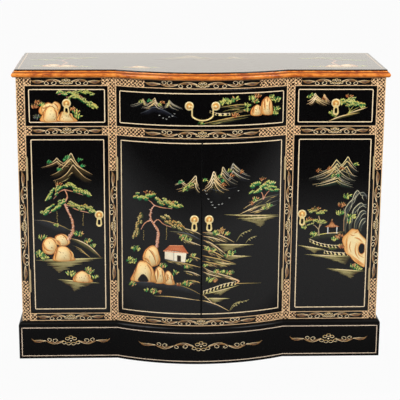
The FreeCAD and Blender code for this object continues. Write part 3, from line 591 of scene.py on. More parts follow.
class Painting:
    """Brushwork in raised lacquer on one face, every stroke a closed shell of its own."""

    def __init__(self, name, body, place, seed, relief=1.0):
        self.name = name
        self.relief = relief
        self.body = body
        self.place = place
        self.chance = random.Random(seed)
        self.points = []
        self.pigments = []
        self.faces = []
        self.strokes = 0
        self.rocks = 0

    def lift(self, coat):
        """Height of a new stroke on one of the coats, a little apart from its neighbours."""
        self.strokes += 1
        return FIRST_COAT + COAT * coat + APART * (self.strokes % 20)

    def add(self, spot, height, tone):
        raised = height * self.relief if height > 0 else height
        self.points.append([value * MM for value in self.place(*spot, raised)])
        self.pigments += opaque(tone)

    def loft(self, rows, tones, coat, closed=False):
        """Strip of paint: rows of points from its left edge to its right one, and a colour for each."""
        height = self.lift(coat)
        first = len(self.points)
        rings = len(rows[0])
        last = len(rows) - 1
        size = len(rows) + 2
        for index in range(rings):
            self.add(rows[0][index], SUNK, tones[0][index])
            for number, row in enumerate(rows):
                bulge = CROWN * 4 * number * (last - number) / last ** 2
                self.add(row[index], height + bulge, tones[number][index])
            self.add(rows[last][index], SUNK, tones[last][index])
        for index in range(rings if closed else rings - 1):
            here = first + index * size
            there = first + (index + 1) % rings * size
            for side in range(size):
                other = (side + 1) % size
                self.faces.append((here + side, here + other, there + other, there + side))
        if not closed:
            end = first + (rings - 1) * size
            self.faces.append(tuple(range(first + size - 1, first - 1, -1)))
            self.faces.append(tuple(range(end, end + size)))

    def line(self, line, widths, tones, coat, rim=None, closed=False, rough=0.0):
        """Stroke along a line, with widths and colours that change along it."""
        shares = [index / max(len(line) - 1, 1) for index in range(len(line))]
        halves = [between(widths, share) / 2 * self.chance.uniform(1 - rough, 1 + rough) for share in shares]
        sides = leftward(line, closed)
        middle = [between(tones, share) for share in shares]
        edge = [between(rim or tones, share) for share in shares]
        left = shifted(line, sides, halves)
        right = shifted(line, sides, [-half for half in halves])
        self.loft([left, line, right], [edge, middle, edge], coat, closed)

    def stroke(self, path, widths, tones, coat=3, rim=None, steps=3, rough=0.12):
        """Free stroke of the brush through some points."""
        self.line(smooth(path, steps), widths, tones, coat, rim, False, rough)

    def dab(self, middle, long, wide, turn, tones, coat):
        """One short touch of the brush."""
        du = math.cos(turn) * long / 2
        dv = math.sin(turn) * long / 2
        path = [(middle[0] - du, middle[1] - dv), (middle[0] + du, middle[1] + dv)]
        self.stroke(path, (wide * 0.35, wide, wide * 0.8, 0.2), tones, coat, None, 4)

    def veil(self, upper, lower, high_tones, low_tones, coat, parts=5, steps=4, streak=0.2):
        """Wash of colour from one line to another."""
        top = smooth(upper, steps)
        low = smooth(lower, steps)
        turn = sum(
            (b[0] - a[0]) * (a[1] - c[1]) - (b[1] - a[1]) * (a[0] - c[0])
            for a, b, c in zip(top, top[1:], low)
        )
        if turn < 0:
            top, low, high_tones, low_tones = top[::-1], low[::-1], high_tones[::-1], low_tones[::-1]
        least = 0.15
        thin = shifted(top, leftward(top), [-least] * len(top))
        low = [b if math.dist(a, b) > least else c for a, b, c in zip(top, low, thin)]
        rows = []
        tones = []
        shades = [1 - streak * self.chance.random() for spot in top]
        for part in range(parts):
            share = part / (parts - 1)
            rows.append([between([a, b], share) for a, b in zip(top, low)])
            row = []
            for index, shade in enumerate(shades):
                along = index / (len(top) - 1)
                tone = between([between(high_tones, along), between(low_tones, along)], share)
                row.append(shaded(tone, shade))
            tones.append(row)
        self.loft(rows, tones, coat)

    def fill(self, outline, tones, coat, steps, dome, light=0.0):
        """Patch of colour inside an outline, from its edge colours to its middle ones."""
        ring = smooth(outline, steps, True)
        if runs_clockwise(ring):
            ring.reverse()
        count = len(ring)
        middle = middle_of(ring)
        height = self.lift(coat)
        first = len(self.points)
        shares = (1.0, 0.88, 0.62, 0.32)
        for spot in ring:
            self.add(spot, SUNK, tones[0])
        for number, share in enumerate(shares):
            tone = between(tones, number / len(shares))
            for spot in ring:
                lit = 1 + light * share * lightward(middle, spot)
                lifted = height + dome * (1 - share ** 2)
                self.add(between([middle, spot], share), lifted, shaded(tone, lit))
        self.add(middle, height + dome, tones[-1])
        self.add(middle, SUNK, tones[-1])
        top = first + (len(shares) + 1) * count
        for index in range(count):
            after = (index + 1) % count
            self.faces.append((first + after, first + index, top + 1))
            for level in range(len(shares)):
                low = first + level * count
                high = low + count
                self.faces.append((low + index, low + after, high + after, high + index))
            self.faces.append((top - count + index, top - count + after, top))

    def contour(self, outline, wide, tones, coat):
        """Closed line round a patch."""
        self.line(smooth(outline, 3, True), [wide], tones, coat, None, True, 0.2)

    def hang(self, finish=PAINT):
        """Make the mesh and let it ride on its body."""
        mesh = bpy.data.meshes.new(self.name)
        mesh.from_pydata(self.points, [], self.faces)
        layer = mesh.color_attributes.new("pigment", "FLOAT_COLOR", "POINT")
        layer.data.foreach_set("color", self.pigments)
        mesh.materials.append(finish)
        piece = bpy.data.objects.new(self.name, mesh)
        bpy.context.scene.collection.objects.link(piece)
        bpy.ops.object.select_all(action="DESELECT")
        piece.select_set(True)
        bpy.context.view_layer.objects.active = piece
        bpy.ops.object.shade_smooth_by_angle(angle=math.radians(35))
        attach(piece, self.body)


# Motifs

LINE_WIDE = 2.9
CORNER_ROUND = 2.8


def frame_line(panel, left, low, right, high):
    """Closed cream line with rounded corners."""
    corners = [(right, high, 0), (left, high, 90), (left, low, 180), (right, low, 270)]
    path = []
    for u, v, start in corners:
        middle_u = u - math.copysign(CORNER_ROUND, u - (left + right) / 2)
        middle_v = v - math.copysign(CORNER_ROUND, v - (low + high) / 2)
        for step in range(5):
            turn = math.radians(start + 22.5 * step)
            path.append((middle_u + CORNER_ROUND * math.cos(turn), middle_v + CORNER_ROUND * math.sin(turn)))
    panel.line(divided(path, 12, True), [LINE_WIDE], [LINE_CREAM], 0, [LINE_EDGE], True, 0.04)


def side_line(panel, inner, outer, low, high):
    """Three sides of a cream frame, open towards the neighbouring door."""
    path = [(inner, high), (outer, high), (outer, low), (inner, low)]
    panel.line(divided(path, 12), [LINE_WIDE], [LINE_CREAM], 0, [LINE_EDGE], False, 0.04)


def ridge(panel, spine, fall, wash, line, wide=2.0, coat=0, hatch=0):
    """Bright edge of land with its colour washed down into the dark, and brush marks on its slope."""
    last = len(spine) - 1
    drops = [fall * (0.25 + 0.75 * math.sin(math.pi * index / last)) for index in range(last + 1)]
    lower = [(u, v - drop) for (u, v), drop in zip(spine, drops)]
    panel.veil(spine, lower, [INK] + [wash] * (last - 1) + [INK], [INK] * 2, coat, 5, 4, 0.3)
    panel.stroke(spine, (0.4, wide, wide * 1.15, wide, 0.4), line, coat + 2, None, 4)
    for mark in range(hatch):
        share = panel.chance.uniform(0.05, 0.7)
        down = panel.chance.uniform(0.2, 0.9) * fall
        path = []
        for step in (0, 0.1, 0.2):
            u, v = between(spine, share + step)
            path.append((u, v - down * (0.5 + 2 * step)))
        tone = panel.chance.choice((SAND, GOLD, TAN, OLIVE))
        panel.stroke(path, (0.3, 1.8, 0.3), [OLIVE, tone, OLIVE], coat + 2)


def peak(panel, left, apex, right, folds, wash, line, wide=2.3):
    """Mountain of nested folds with hollow slopes, the middle ones widest."""
    chance = panel.chance
    rise = apex[1] - (left[1] + right[1]) / 2
    blunt = 0.8 + 0.03 * rise
    bright = [between([tone, IVORY], 0.3) for tone in line]
    for fold in range(folds):
        t = fold / folds
        top_u = apex[0] + chance.uniform(-0.12, 0.12) * t * rise
        top_v = apex[1] - 0.64 * t * rise * chance.uniform(0.85, 1.1)
        top = (top_u, top_v)
        reach = min(0.64, 0.96 - 0.54 * t)
        spread = reach + 0.34 * (1 - abs(2 * t - 1))
        arms = []
        for hand, foot in ((-1, left), (1, right)):
            run = (foot[0] - apex[0]) * spread * chance.uniform(0.88, 1.05)
            drop = (foot[1] - apex[1]) * reach * chance.uniform(0.88, 1.05)
            end = (top_u + run, top_v + drop)
            near = between([top, end], 0.3)
            far = between([top, end], 0.62)
            sag = chance.uniform(0.05, 0.13) * rise
            knee = chance.uniform(-0.05, 0.05) * rise
            shoulder = (top_u + hand * blunt, top_v - blunt)
            arms.append([shoulder, (near[0], near[1] - sag - knee), (far[0], far[1] - sag), end])
        spine = arms[0][::-1] + [top] + arms[1]
        coat = 1 if fold > 1 else 0
        ridge(panel, spine, 0.4 * rise, shaded(wash, 0.8), bright, wide * chance.uniform(0.8, 1.2), coat, 3)


def tuft(panel, middle, reach, rise, tones, count, size, coat=6, lean=76, fan=62):
    """Cluster of leaves that fan out from a dark heart, the dark ones first and the lit ones over them."""
    chance = panel.chance
    panel.dab(middle, 1.7 * reach, 1.5 * rise, chance.uniform(-0.2, 0.2), [shaded(tones[0], 0.3)], coat - 1)
    places = list(range(count))
    chance.shuffle(places)
    for leaf, place in enumerate(places):
        turn = 2.4 * place + chance.uniform(-0.3, 0.3)
        far = math.sqrt((place + 0.5) / count)
        spot = (middle[0] + reach * far * math.cos(turn), middle[1] + rise * far * math.sin(turn))
        angle = math.radians(lean - fan * far * math.cos(turn) + chance.uniform(-22, 22))
        tone = tones[leaf * len(tones) // count]
        long = size * chance.uniform(0.85, 1.35)
        pale = between([tone, STRAW], chance.uniform(0.1, 0.8))
        over = coat + 1 if 2 * leaf > count else coat
        panel.dab(spot, long, long * 0.42, angle, [shaded(tone, 0.45), tone, pale], over)


def shrubs(panel, rows, reach, rise, count, size, lean=30):
    """Small bushes on far slopes: place and leaves."""
    for u, v, leaves in rows:
        tuft(panel, (u, v), reach, rise, leaves, count, size, 5, lean)


def plant(panel, rows, lean=76, fan=62):
    """Bushes near by: place, leaves and size."""
    for u, v, leaves, size in rows:
        count = int(6 + 1.3 * size)
        tuft(panel, (u, v), size * 1.5, size * 0.8, leaves, count, 0.32 * size + 4.8, 6, lean, fan)


def pad(panel, middle, reach, rise, turn, tones):
    """Pad of a pine: dark clumps, each with a fan of needles that are lit at their tips."""
    chance = panel.chance
    dark, half_lit, lit = tones
    angle = math.radians(turn)
    coat = 6
    corners = 7

    def at(along, across):
        return (
            middle[0] + along * math.cos(angle) - across * math.sin(angle),
            middle[1] + along * math.sin(angle) + across * math.cos(angle),
        )

    places = []
    clumps = max(8, round(4.6 * reach / rise))
    for clump in range(clumps):
        along = 0.96 * reach * (2 * (clump + 0.5) / clumps - 1)
        room = 1.2 * rise * (1 - 0.6 * (along / reach) ** 2)
        places.append((chance.uniform(-0.8, 0.8) * room, along))
    for across, along in sorted(places, reverse=True):
        size = chance.uniform(0.42, 0.58) * rise
        outline = []
        for corner in range(corners):
            around = math.tau * corner / corners
            far = size * chance.uniform(0.7, 1.15)
            outline.append(at(along + 1.35 * far * math.cos(around), across + far * math.sin(around)))
        panel.fill(outline, [dark, dark, between([dark, half_lit], 0.7)], coat, 2, 0.1, 0.3)
        glow = chance.choice((lit, lit, STRAW, STRAW, AMBER))
        widths = (0.6, 0.5 * size, 0.5 * size, 0.3)
        for needle in range(4):
            lean = math.radians(26 + 128 * needle / 3 + chance.uniform(-12, 12))
            long = size * chance.uniform(0.85, 1.15)
            root = at(along + 0.5 * long * math.cos(lean), across + 0.1 * long * math.sin(lean))
            tip = at(along + 1.5 * long * math.cos(lean), across + 1.05 * long * math.sin(lean))
            shine = between([lit, glow], chance.random())
            panel.stroke([root, tip], widths, [half_lit, shine, glow], coat + 1 + needle % 2)


def bough(panel, path, start, end):
    """Trunk or branch with a lit back and darker flanks, and knots on a thick one."""
    chance = panel.chance
    coat = 4
    pale = linear(234, 184, 158)
    flank = linear(180, 116, 92)
    dark_knot = linear(150, 88, 70)
    lit_knot = linear(250, 212, 188)
    panel.stroke(path, (start, (start + end) / 2, end), [pale, ROSE, pale], coat, [flank], 4, 0.3)
    if start > 6:
        for u, v in smooth(path, 4)[1:-3]:
            knot = (u + chance.uniform(-0.4, 0.4) * start, v + chance.uniform(-2, 2))
            panel.dab(knot, 0.5 * start, 0.3 * start, chance.uniform(0, 3), [dark_knot], coat + 1)
            lit = (knot[0] - 1.2, knot[1] + 1.6)
            panel.dab(lit, 0.45 * start, 0.24 * start, chance.uniform(0, 3), [lit_knot], coat + 2)


def strand(panel, top, low):
    """Hanging strand of tiny seeds."""
    count = int((top[1] - low[1]) / 4.4)
    for seed in range(count):
        u, v = between([top, low], seed / max(count - 1, 1))
        panel.dab((u + panel.chance.uniform(-1.0, 1.0), v), 3.0, 2.2, 1.4, [linear(190, 164, 96)], 5)


def rock(panel, outline, creases):
    """Scholar's rock: a pale cracked face between two orange flanks, over the rocks before it."""
    chance = panel.chance
    orange, amber, cream, pale = ROCK_TONES
    coat = 3 + 4 * (panel.rocks % 4)
    panel.rocks += 1
    rim = smooth(outline, 3, True)
    middle = middle_of(rim)
    foot = min(v for u, v in rim)
    tall = max(v for u, v in rim) - foot
    lumpy = [between([middle, spot], chance.uniform(0.92, 1.07)) for spot in rim[::3]]
    panel.fill(lumpy, (orange, amber, amber), coat, 3, 0.0, 0.3)
    panel.contour(lumpy, 1.7, [RUST, BARK, UMBER, OCHRE], coat + 1)
    lean = chance.uniform(-0.12, 0.04)
    face = []
    for u, v in lumpy:
        far = u - middle[0]
        narrow = 0.64 + 0.28 * (v - foot) / tall + chance.uniform(-0.05, 0.05)
        face.append((middle[0] + narrow * far + lean * abs(far), foot + 0.95 * (v - foot)))
    panel.fill(face, (amber, cream, pale, pale), coat + 1, 3, 0.04, 0.35)
    panel.contour(face, 1.8, [OCHRE, RUST, cream, RUST, orange], coat + 2)
    for crack in range(7):
        start = between([middle, chance.choice(face)], chance.uniform(0.15, 0.8))
        bend = (start[0] + chance.uniform(-1.5, 1.5), start[1] - chance.uniform(1.5, 2.5))
        end = (bend[0] + chance.uniform(-2.0, 2.0), bend[1] - chance.uniform(1.5, 3.0))
        panel.stroke([start, bend, end], (0.3, 1.5, 0.3), [OCHRE, BARK, OCHRE], coat + 2)
    for crease in creases:
        shade = [(u + 2.4, v + 0.6) for u, v in crease]
        panel.stroke(shade, (1.0, 8.0, 6.0, 1.0), [orange, orange, amber], coat + 2, [cream])
        panel.stroke(crease, (0.8, 2.4, 1.8, 0.4), [BARK, RUST, BARK], coat + 3)


def bank(panel, left, right, low):
    """Shore in still water: a lit top line and its ragged reflection, which runs out to a point."""
    chance = panel.chance
    parts = 10
    levels = 9
    shares = [step / parts for step in range(parts + 1)]
    upper = [between([left, right], share) for share in shares]
    tip = (low[0] - left[0]) / (right[0] - left[0])
    deep = between([left, right], tip)[1] - low[1]
    lower = []
    for (u, v), share in zip(upper, shares):
        slope = share / tip if share < tip else (1 - share) / (1 - tip)
        lower.append((u, v - deep * min(slope, 1.0) ** 1.4 * chance.uniform(0.45, 1.0) - 0.3))
    lower[round(parts * tip)] = low
    edge = linear(84, 76, 46)
    panel.veil(upper, lower, [edge, OLIVE, OLIVE, edge], [INK, SEPIA, SEPIA, SEPIA, INK], 0, 6, 3, 0.35)
    panel.stroke(upper[::2], (0.4, 2.4, 3.0, 2.2, 0.4), [OLIVE, STRAW, CREAM, STRAW, OLIVE], 2)
    depths = [SAND, linear(158, 146, 96), linear(104, 94, 58)]
    for level in range(levels):
        down = (level + 0.6) / levels
        near = between([left, low], down)
        far = between([right, low], down)
        start = between([near, far], chance.uniform(0.0, 0.3))
        end = between([near, far], chance.uniform(0.7, 1.0))
        wide = deep / levels * chance.uniform(0.5, 0.95)
        tone = between(depths, down)
        path = [start, between([start, end], 0.5), end]
        panel.stroke(path, (0.3, wide, wide, 0.3), [OLIVE, tone, tone, OLIVE], 1)


def reeds(panel, base, tip, count):
    """Stem of grass that arches over to one side, with short blades along it."""
    knee = (between([base, tip], 0.35)[0], between([base, tip], 0.7)[1])
    panel.stroke([base, knee, tip], (1.4, 1.3, 0.4), [OLIVE, SAND, STRAW], 5)
    for blade in range(count):
        u, v = between([base, knee, tip], 0.35 + 0.6 * blade / count)
        path = [(u, v), (u + 4, v + 0.6), (u + 7.5, v - 2.5)]
        panel.stroke(path, (0.7, 2.2, 0.3), [OLIVE, SAND, STRAW], 6)


def fence(panel, path, high, slope):
    """Picket rail: pale slanted bars with dark gaps."""
    pitch = 11
    low = [(u, v - high) for u, v in path]
    panel.veil(path, low, [CREAM], [STRAW], 2, 3, 4, 0.1)
    panel.stroke(path, (0.8, 1.2, 0.8), [IVORY], 4)
    count = int(math.dist(path[0], path[-1]) / pitch)
    for gap in range(count):
        u, v = between(path, (gap + 0.5) / count)
        bar = [(u + slope * high, v - 0.6), (u - slope * high, v - high + 0.4)]
        panel.line(bar, [6.2], [INK], 3)


def birds(panel, spots, size):
    """Far birds, each of two wings."""
    for u, v in spots:
        for hand in (-1, 1):
            wing = [(u, v), (u + hand * size * 0.5, v + size * 0.6), (u + hand * size, v + size * 0.3)]
            panel.stroke(wing, (1.0, 0.8, 0.3), [CHALK], 5, None, 2)


def ring(panel, at, middle, half_long, half_tall, wide):
    """Open loop of scrollwork."""
    path = []
    for step in range(12):
        turn = math.tau * step / 12
        path.append(at(middle[0] + half_long * math.cos(turn), middle[1] + half_tall * math.sin(turn)))
    if runs_clockwise(path):
        path.reverse()
    panel.line(path, [wide], [CREAM, GOLD, CREAM, IVORY], 3, None, True, 0.1)


def bloom(panel, at, reach, tall, wide):
    """Flower of looped petals over a spread of looped leaves."""
    petals = (
        (0, 0.72), (-0.42, 0.42), (0.42, 0.42),
        (-0.8, -0.4), (-0.28, -0.62), (0.28, -0.62), (0.8, -0.4),
    )
    for far, across in petals:
        ring(panel, at, (far * reach, across * tall), 0.23 * reach, 0.27 * tall, wide)
    panel.dab(at(0, 0), 0.4 * tall, 0.3 * tall, 0.4, [IVORY], 4)


def leaf_blade(panel, upper, lower, wide):
    """Brown leaf between two edges, paler at its root and along its upper edge."""
    panel.veil(upper, lower, [CREAM, TAN, TAUPE, TAN, TAUPE], [TAN, UMBER, SEPIA, UMBER, SEPIA], 1)
    panel.stroke(upper, (wide, 0.7 * wide, 0.6 * wide, 0.5), [IVORY, CREAM, GOLD, TAN], 2)
    panel.stroke(lower, (0.8 * wide, 0.5 * wide, 0.4 * wide, 0.3), [CREAM, TAN, OCHRE, UMBER], 2)


def wave(panel, at, start, end, side, tall, wide):
    """Ribbon leaf that swells to one side between two knots, with curls in its hollow."""
    outer = []
    inner = []
    for step in range(7):
        share = step / 6
        swell = math.sin(math.pi * share)
        far = start + (end - start) * share
        level = 0.5 * tall * swell
        thick = 0.7 + 2.4 * swell
        outer.append(at(far, side * (level + thick)))
        inner.append(at(far, side * (level - thick)))
    leaf_blade(panel, outer, inner, wide)
    for share, size, turn in ((0.44, 7.4, 1), (0.82, 6.4, -1)):
        far = start + (end - start) * share
        level = 0.5 * tall * math.sin(math.pi * share)
        curl(panel, at, (far, side * (level - 1.4 - size)), size, side, turn, wide)


def curl(panel, at, middle, size, side, turn, wide):
    """Tendril that starts on a leaf and winds in on itself."""
    path = []
    for step in range(13):
        share = step / 12
        around = side * math.pi / 2 + turn * math.tau * 0.98 * share
        reach = size * (1 - 0.66 * share)
        path.append(at(middle[0] + 1.4 * reach * math.cos(around), middle[1] + reach * math.sin(around)))
    panel.stroke(path, (wide, 0.9 * wide, 1.2 * wide), [CREAM, IVORY, CREAM], 3, None, 2, 0.05)


def tail(panel, at, start, end, tall, wide):
    """Last leaf of a scroll, drawn out to a tip that curls up."""
    full = min(1.4, 19 / tall)
    shares = (0, 0.22, 0.46, 0.68, 0.86, 1)
    levels = (0, -0.04, -0.1, -0.08, 0.06, 0.42)
    halves = (0.4, 1.7, 3.2, 2.6, 1.3, 0.3)
    upper = []
    lower = []
    for share, level, thick in zip(shares, levels, halves):
        far = start + (end - start) * share
        upper.append(at(far, tall * level + full * thick))
        lower.append(at(far, tall * level - full * thick))
    leaf_blade(panel, upper, lower, wide)


def scroll_run(panel, at, half, tall, flower, waves, side, wide=1.6):
    """Scrollwork from a middle flower out to both ends of a field."""
    bloom(panel, at, flower, tall, wide)
    start = 0.86 * flower
    shares = (0, 0.37, 0.7, 1) if waves == 2 else (0, 0.56, 1)
    knots = [start + (half - start) * share for share in shares]
    for hand in (-1, 1):
        def out(far, across):
            return at(hand * far, across)

        for number in range(waves):
            wave(panel, out, knots[number], knots[number + 1], side * (-1) ** number, tall, wide)
        tail(panel, out, knots[waves], knots[waves + 1], tall, wide)


# Painted doors and drawers

SIDE_DOOR_LOW = 161
MIDDLE_DOOR_LOW = 162
DOOR_HIGH = 703
DRAWER_LOW = 757
SIDE_DRAWER_HIGH = 857
MIDDLE_DRAWER_HIGH = 854


def each(motif, panel, rows):
    """Paint a motif once for every row of its values."""
    for row in rows:
        motif(panel, *row)


def paint_left_door():
    """Leaning pine over rocks in still water, under far mountains."""
    panel = Painting("left_door_painting", "door_left", on_flat, 11)
    frame_line(panel, -517, SIDE_DOOR_LOW, -297, DOOR_HIGH)
    each(peak, panel, [
        ((-491, 613), (-440, 646), (-400, 618), 2, linear(104, 78, 54), [UMBER, GOLD, CREAM, GOLD, UMBER]),
        ((-474, 581), (-397, 660), (-323, 577), 3, linear(92, 76, 48), GILT),
    ])
    green = (PINE, FERN, JADE, JADE)
    spots = [(-408, 650), (-414, 643), (-463, 634), (-434, 611), (-372, 641)]
    shrubs(panel, [(u, v, green) for u, v in spots], 8.4, 4.8, 9, 6.5, 40)
    shrubs(panel, [(-362, 622, green)], 7, 4, 9, 6.5, 40)
    each(bough, panel, [
        ([(-414, 384), (-405, 397), (-396, 416), (-397, 449), (-412, 483), (-421, 506)], 11, 5.5),
        ([(-421, 503), (-411, 522), (-413, 536), (-419, 548)], 4.5, 3),
        ([(-420, 505), (-437, 497), (-450, 483), (-468, 473)], 4, 2),
        ([(-419, 499), (-402, 496), (-388, 486), (-365, 478), (-338, 472)], 4.5, 2),
        ([(-419, 547), (-434, 540), (-452, 518)], 3, 1.6),
        ([(-418, 547), (-394, 541), (-362, 530)], 3, 1.6),
    ])
    each(pad, panel, [
        ((-452, 535), 33, 10, 48, NEEDLES),
        ((-378, 548), 42, 11, -22, BRIGHT_NEEDLES),
        ((-454, 491), 43, 10, 30, NEEDLES),
        ((-366, 491), 46, 10, -17, BRIGHT_NEEDLES),
    ])
    tuft(panel, (-437, 565), 11, 7, RED_LEAVES, 10, 7, 8)
    each(strand, panel, [((-444, 476), (-442, 440)), ((-363, 470), (-364, 434))])
    each(ridge, panel, [
        ([(-514, 450), (-485, 449), (-454, 441), (-425, 429), (-398, 414)], 26, MIST, DUSK, 1.5),
        ([(-406, 392), (-380, 385), (-353, 371), (-330, 351), (-310, 329)], 16, OLIVE, LIT_SLOPE, 2.4),
    ])
    for shift in (0, 9, 17):
        slope = [(-396 + shift, 368 - shift), (-372 + shift, 356 - shift), (-352 + shift, 336 - shift)]
        panel.stroke(slope, (0.4, 1.6, 0.4), [OLIVE, GOLD, OLIVE], 2)
    bank(panel, (-513, 321), (-303, 327), (-442, 280))
    plant(panel, [
        (-490, 396, TURNED_LEAVES, 9), (-498, 342, LEAVES, 12), (-484, 330, LEAVES, 8),
        (-378, 407, TURNED_LEAVES, 10), (-350, 384, TURNED_LEAVES, 8), (-334, 368, LEAVES, 6),
        (-446, 434, LEAVES, 5),
    ])
    each(rock, panel, [
        ([(-452, 384), (-449, 398), (-436, 407), (-420, 404), (-409, 392), (-407, 376), (-420, 366),
          (-440, 368)],
         [[(-430, 404), (-420, 396), (-413, 384), (-412, 374)], [(-446, 386), (-440, 378), (-434, 370)]]),
        ([(-489, 364), (-486, 382), (-472, 394), (-456, 390), (-446, 377), (-444, 360), (-452, 345),
          (-468, 338), (-484, 347)],
         [[(-462, 392), (-452, 382), (-447, 370)], [(-488, 374), (-484, 360), (-470, 351), (-454, 353)]]),
        ([(-460, 319), (-454, 339), (-447, 357), (-433, 368), (-415, 365), (-402, 349), (-393, 332),
          (-389, 319), (-424, 317)],
         [[(-444, 358), (-450, 342), (-452, 326)], [(-408, 352), (-401, 338), (-400, 324)]]),
    ])
    bank(panel, (-446, 258), (-315, 245), (-395, 219))
    rock(
        panel,
        [(-398, 251), (-396, 267), (-384, 281), (-368, 285), (-351, 277), (-342, 262), (-339, 250),
         (-368, 247)],
        [[(-390, 276), (-393, 264), (-392, 256)], [(-352, 274), (-346, 262)]],
    )
    plant(panel, [
        (-404, 278, LEAVES, 10), (-346, 284, TURNED_LEAVES, 9), (-329, 266, LEAVES, 7),
        (-350, 292, TURNED_LEAVES, 6),
    ])
    panel.hang()


def paint_middle_left_door():
    """Bent pine behind rocks, with a house on a hillside."""
    panel = Painting("middle_left_door_painting", "door_centre_left", on_bow, 12)
    side_line(panel, -2.4, -252, MIDDLE_DOOR_LOW, DOOR_HIGH)
    each(peak, panel, [
        ((-88, 572), (-62, 590), (-38, 570), 3, linear(58, 56, 48), [OLIVE, GOLD, CREAM, OCHRE], 1.7),
        ((-86, 552), (-20, 603), (-3, 556), 3, linear(66, 62, 48), [OCHRE, GOLD, IVORY, CREAM, GOLD]),
    ])
    spots = [(-64, 584, JADE_LEAVES), (-44, 569, LEAVES), (-34, 577, LEAVES), (-52, 560, LEAVES)]
    shrubs(panel, spots, 9, 5, 9, 6.5)
    each(bough, panel, [
        ([(-139, 374), (-136, 398), (-134, 426), (-149, 450), (-158, 468), (-155, 493), (-144, 509)], 10, 4),
        ([(-154, 461), (-171, 453), (-181, 442), (-188, 428)], 4, 1.6),
        ([(-148, 452), (-134, 463), (-116, 449), (-82, 438)], 3.6, 1.6),
        ([(-145, 507), (-124, 502), (-90, 499)], 3.4, 1.4),
        ([(-147, 508), (-158, 519), (-170, 524)], 2.6, 1.2),
    ])
    each(pad, panel, [
        ((-178, 536), 34, 12, 6, NEEDLES),
        ((-101, 515), 42, 11, -14, BRIGHT_NEEDLES),
        ((-199, 438), 42, 10, 74, DRY_NEEDLES),
        ((-90, 455), 38, 12, -30, DRY_NEEDLES),
    ])
    tuft(panel, (-164, 547), 14, 6, RED_LEAVES, 10, 7, 8)
    tuft(panel, (-94, 519), 14, 6, (OCHRE, GOLD, RUST), 8, 7, 8)
    each(strand, panel, [((-180, 424), (-181, 396)), ((-107, 442), (-108, 402))])
    slopes = [
        ([(-100, 428), (-60, 425), (-30, 417), (-3, 402)], SLATE),
        ([(-72, 440), (-49, 437), (-24, 430), (-3, 420)], CREAM),
        ([(-62, 404), (-40, 398), (-3, 384)], CREAM),
        ([(-112, 333), (-60, 328), (-3, 314)], GOLD),
        ([(-40, 350), (-22, 347), (-3, 340)], GOLD),
        ([(-56, 302), (-30, 298), (-3, 287)], CREAM),
        ([(-44, 272), (-22, 270), (-3, 264)], GOLD),
    ]
    for spine, tone in slopes:
        ridge(panel, spine, 14, linear(74, 66, 50), [OLIVE, tone, tone], 2.2, 0, 6)
    shore = [(-237, 252), (-170, 259), (-106, 262), (-50, 250), (-3, 227)]
    ridge(panel, shore, 24, MIST, [MIST, SLATE, OLIVE, GOLD])
    ridge(panel, [(-149, 216), (-100, 217), (-60, 214), (-3, 206)], 10, MIST, [OLIVE, GOLD, CREAM, GOLD])
    plant(panel, [
        (-205, 366, LEAVES, 10), (-220, 326, LEAVES, 12), (-217, 250, TURNED_LEAVES, 8),
        (-57, 410, TURNED_LEAVES, 9), (-38, 403, LEAVES, 6), (-26, 354, TURNED_LEAVES, 6),
        (-38, 336, LEAVES, 6), (-44, 316, TURNED_LEAVES, 6), (-118, 318, TURNED_LEAVES, 8),
        (-44, 262, TURNED_LEAVES, 10), (-70, 258, RED_LEAVES, 5), (-149, 232, TURNED_LEAVES, 9),
        (-130, 230, RED_LEAVES, 5), (-172, 234, LEAVES, 5),
    ], 56, 12)
    rock(
        panel,
        [(-184, 330), (-181, 348), (-170, 366), (-152, 379), (-138, 372), (-129, 352), (-127, 332),
         (-138, 316), (-166, 314)],
        [[(-166, 366), (-157, 358), (-149, 346), (-143, 330), (-141, 318)],
         [(-183, 338), (-172, 334), (-164, 326), (-158, 316)]],
    )
    tuft(panel, (-81, 296), 9, 8, TURNED_LEAVES, 9, 7, 5)
    each(rock, panel, [
        ([(-118, 259), (-117, 280), (-110, 296), (-101, 300), (-92, 291), (-86, 273), (-85, 258)],
         [[(-108, 292), (-106, 276), (-108, 264)], [(-94, 288), (-92, 272)]]),
        ([(-148, 262), (-147, 290), (-141, 308), (-130, 313), (-118, 303), (-112, 284), (-111, 261)],
         [[(-138, 306), (-136, 286), (-138, 268)], [(-122, 302), (-120, 282)]]),
        ([(-222, 260), (-216, 285), (-206, 308), (-192, 324), (-172, 323), (-155, 311), (-146, 292),
          (-142, 272), (-141, 261), (-182, 263)],
         [[(-204, 304), (-210, 286), (-214, 270)], [(-170, 318), (-158, 300), (-154, 280)]]),
    ])
    arch = [(-198, 261), (-194, 275), (-183, 285), (-172, 279), (-165, 262)]
    panel.fill(arch, [SEPIA, INK, INK, INK], 20, 3, 0.02)
    paint_house(panel)
    panel.hang()


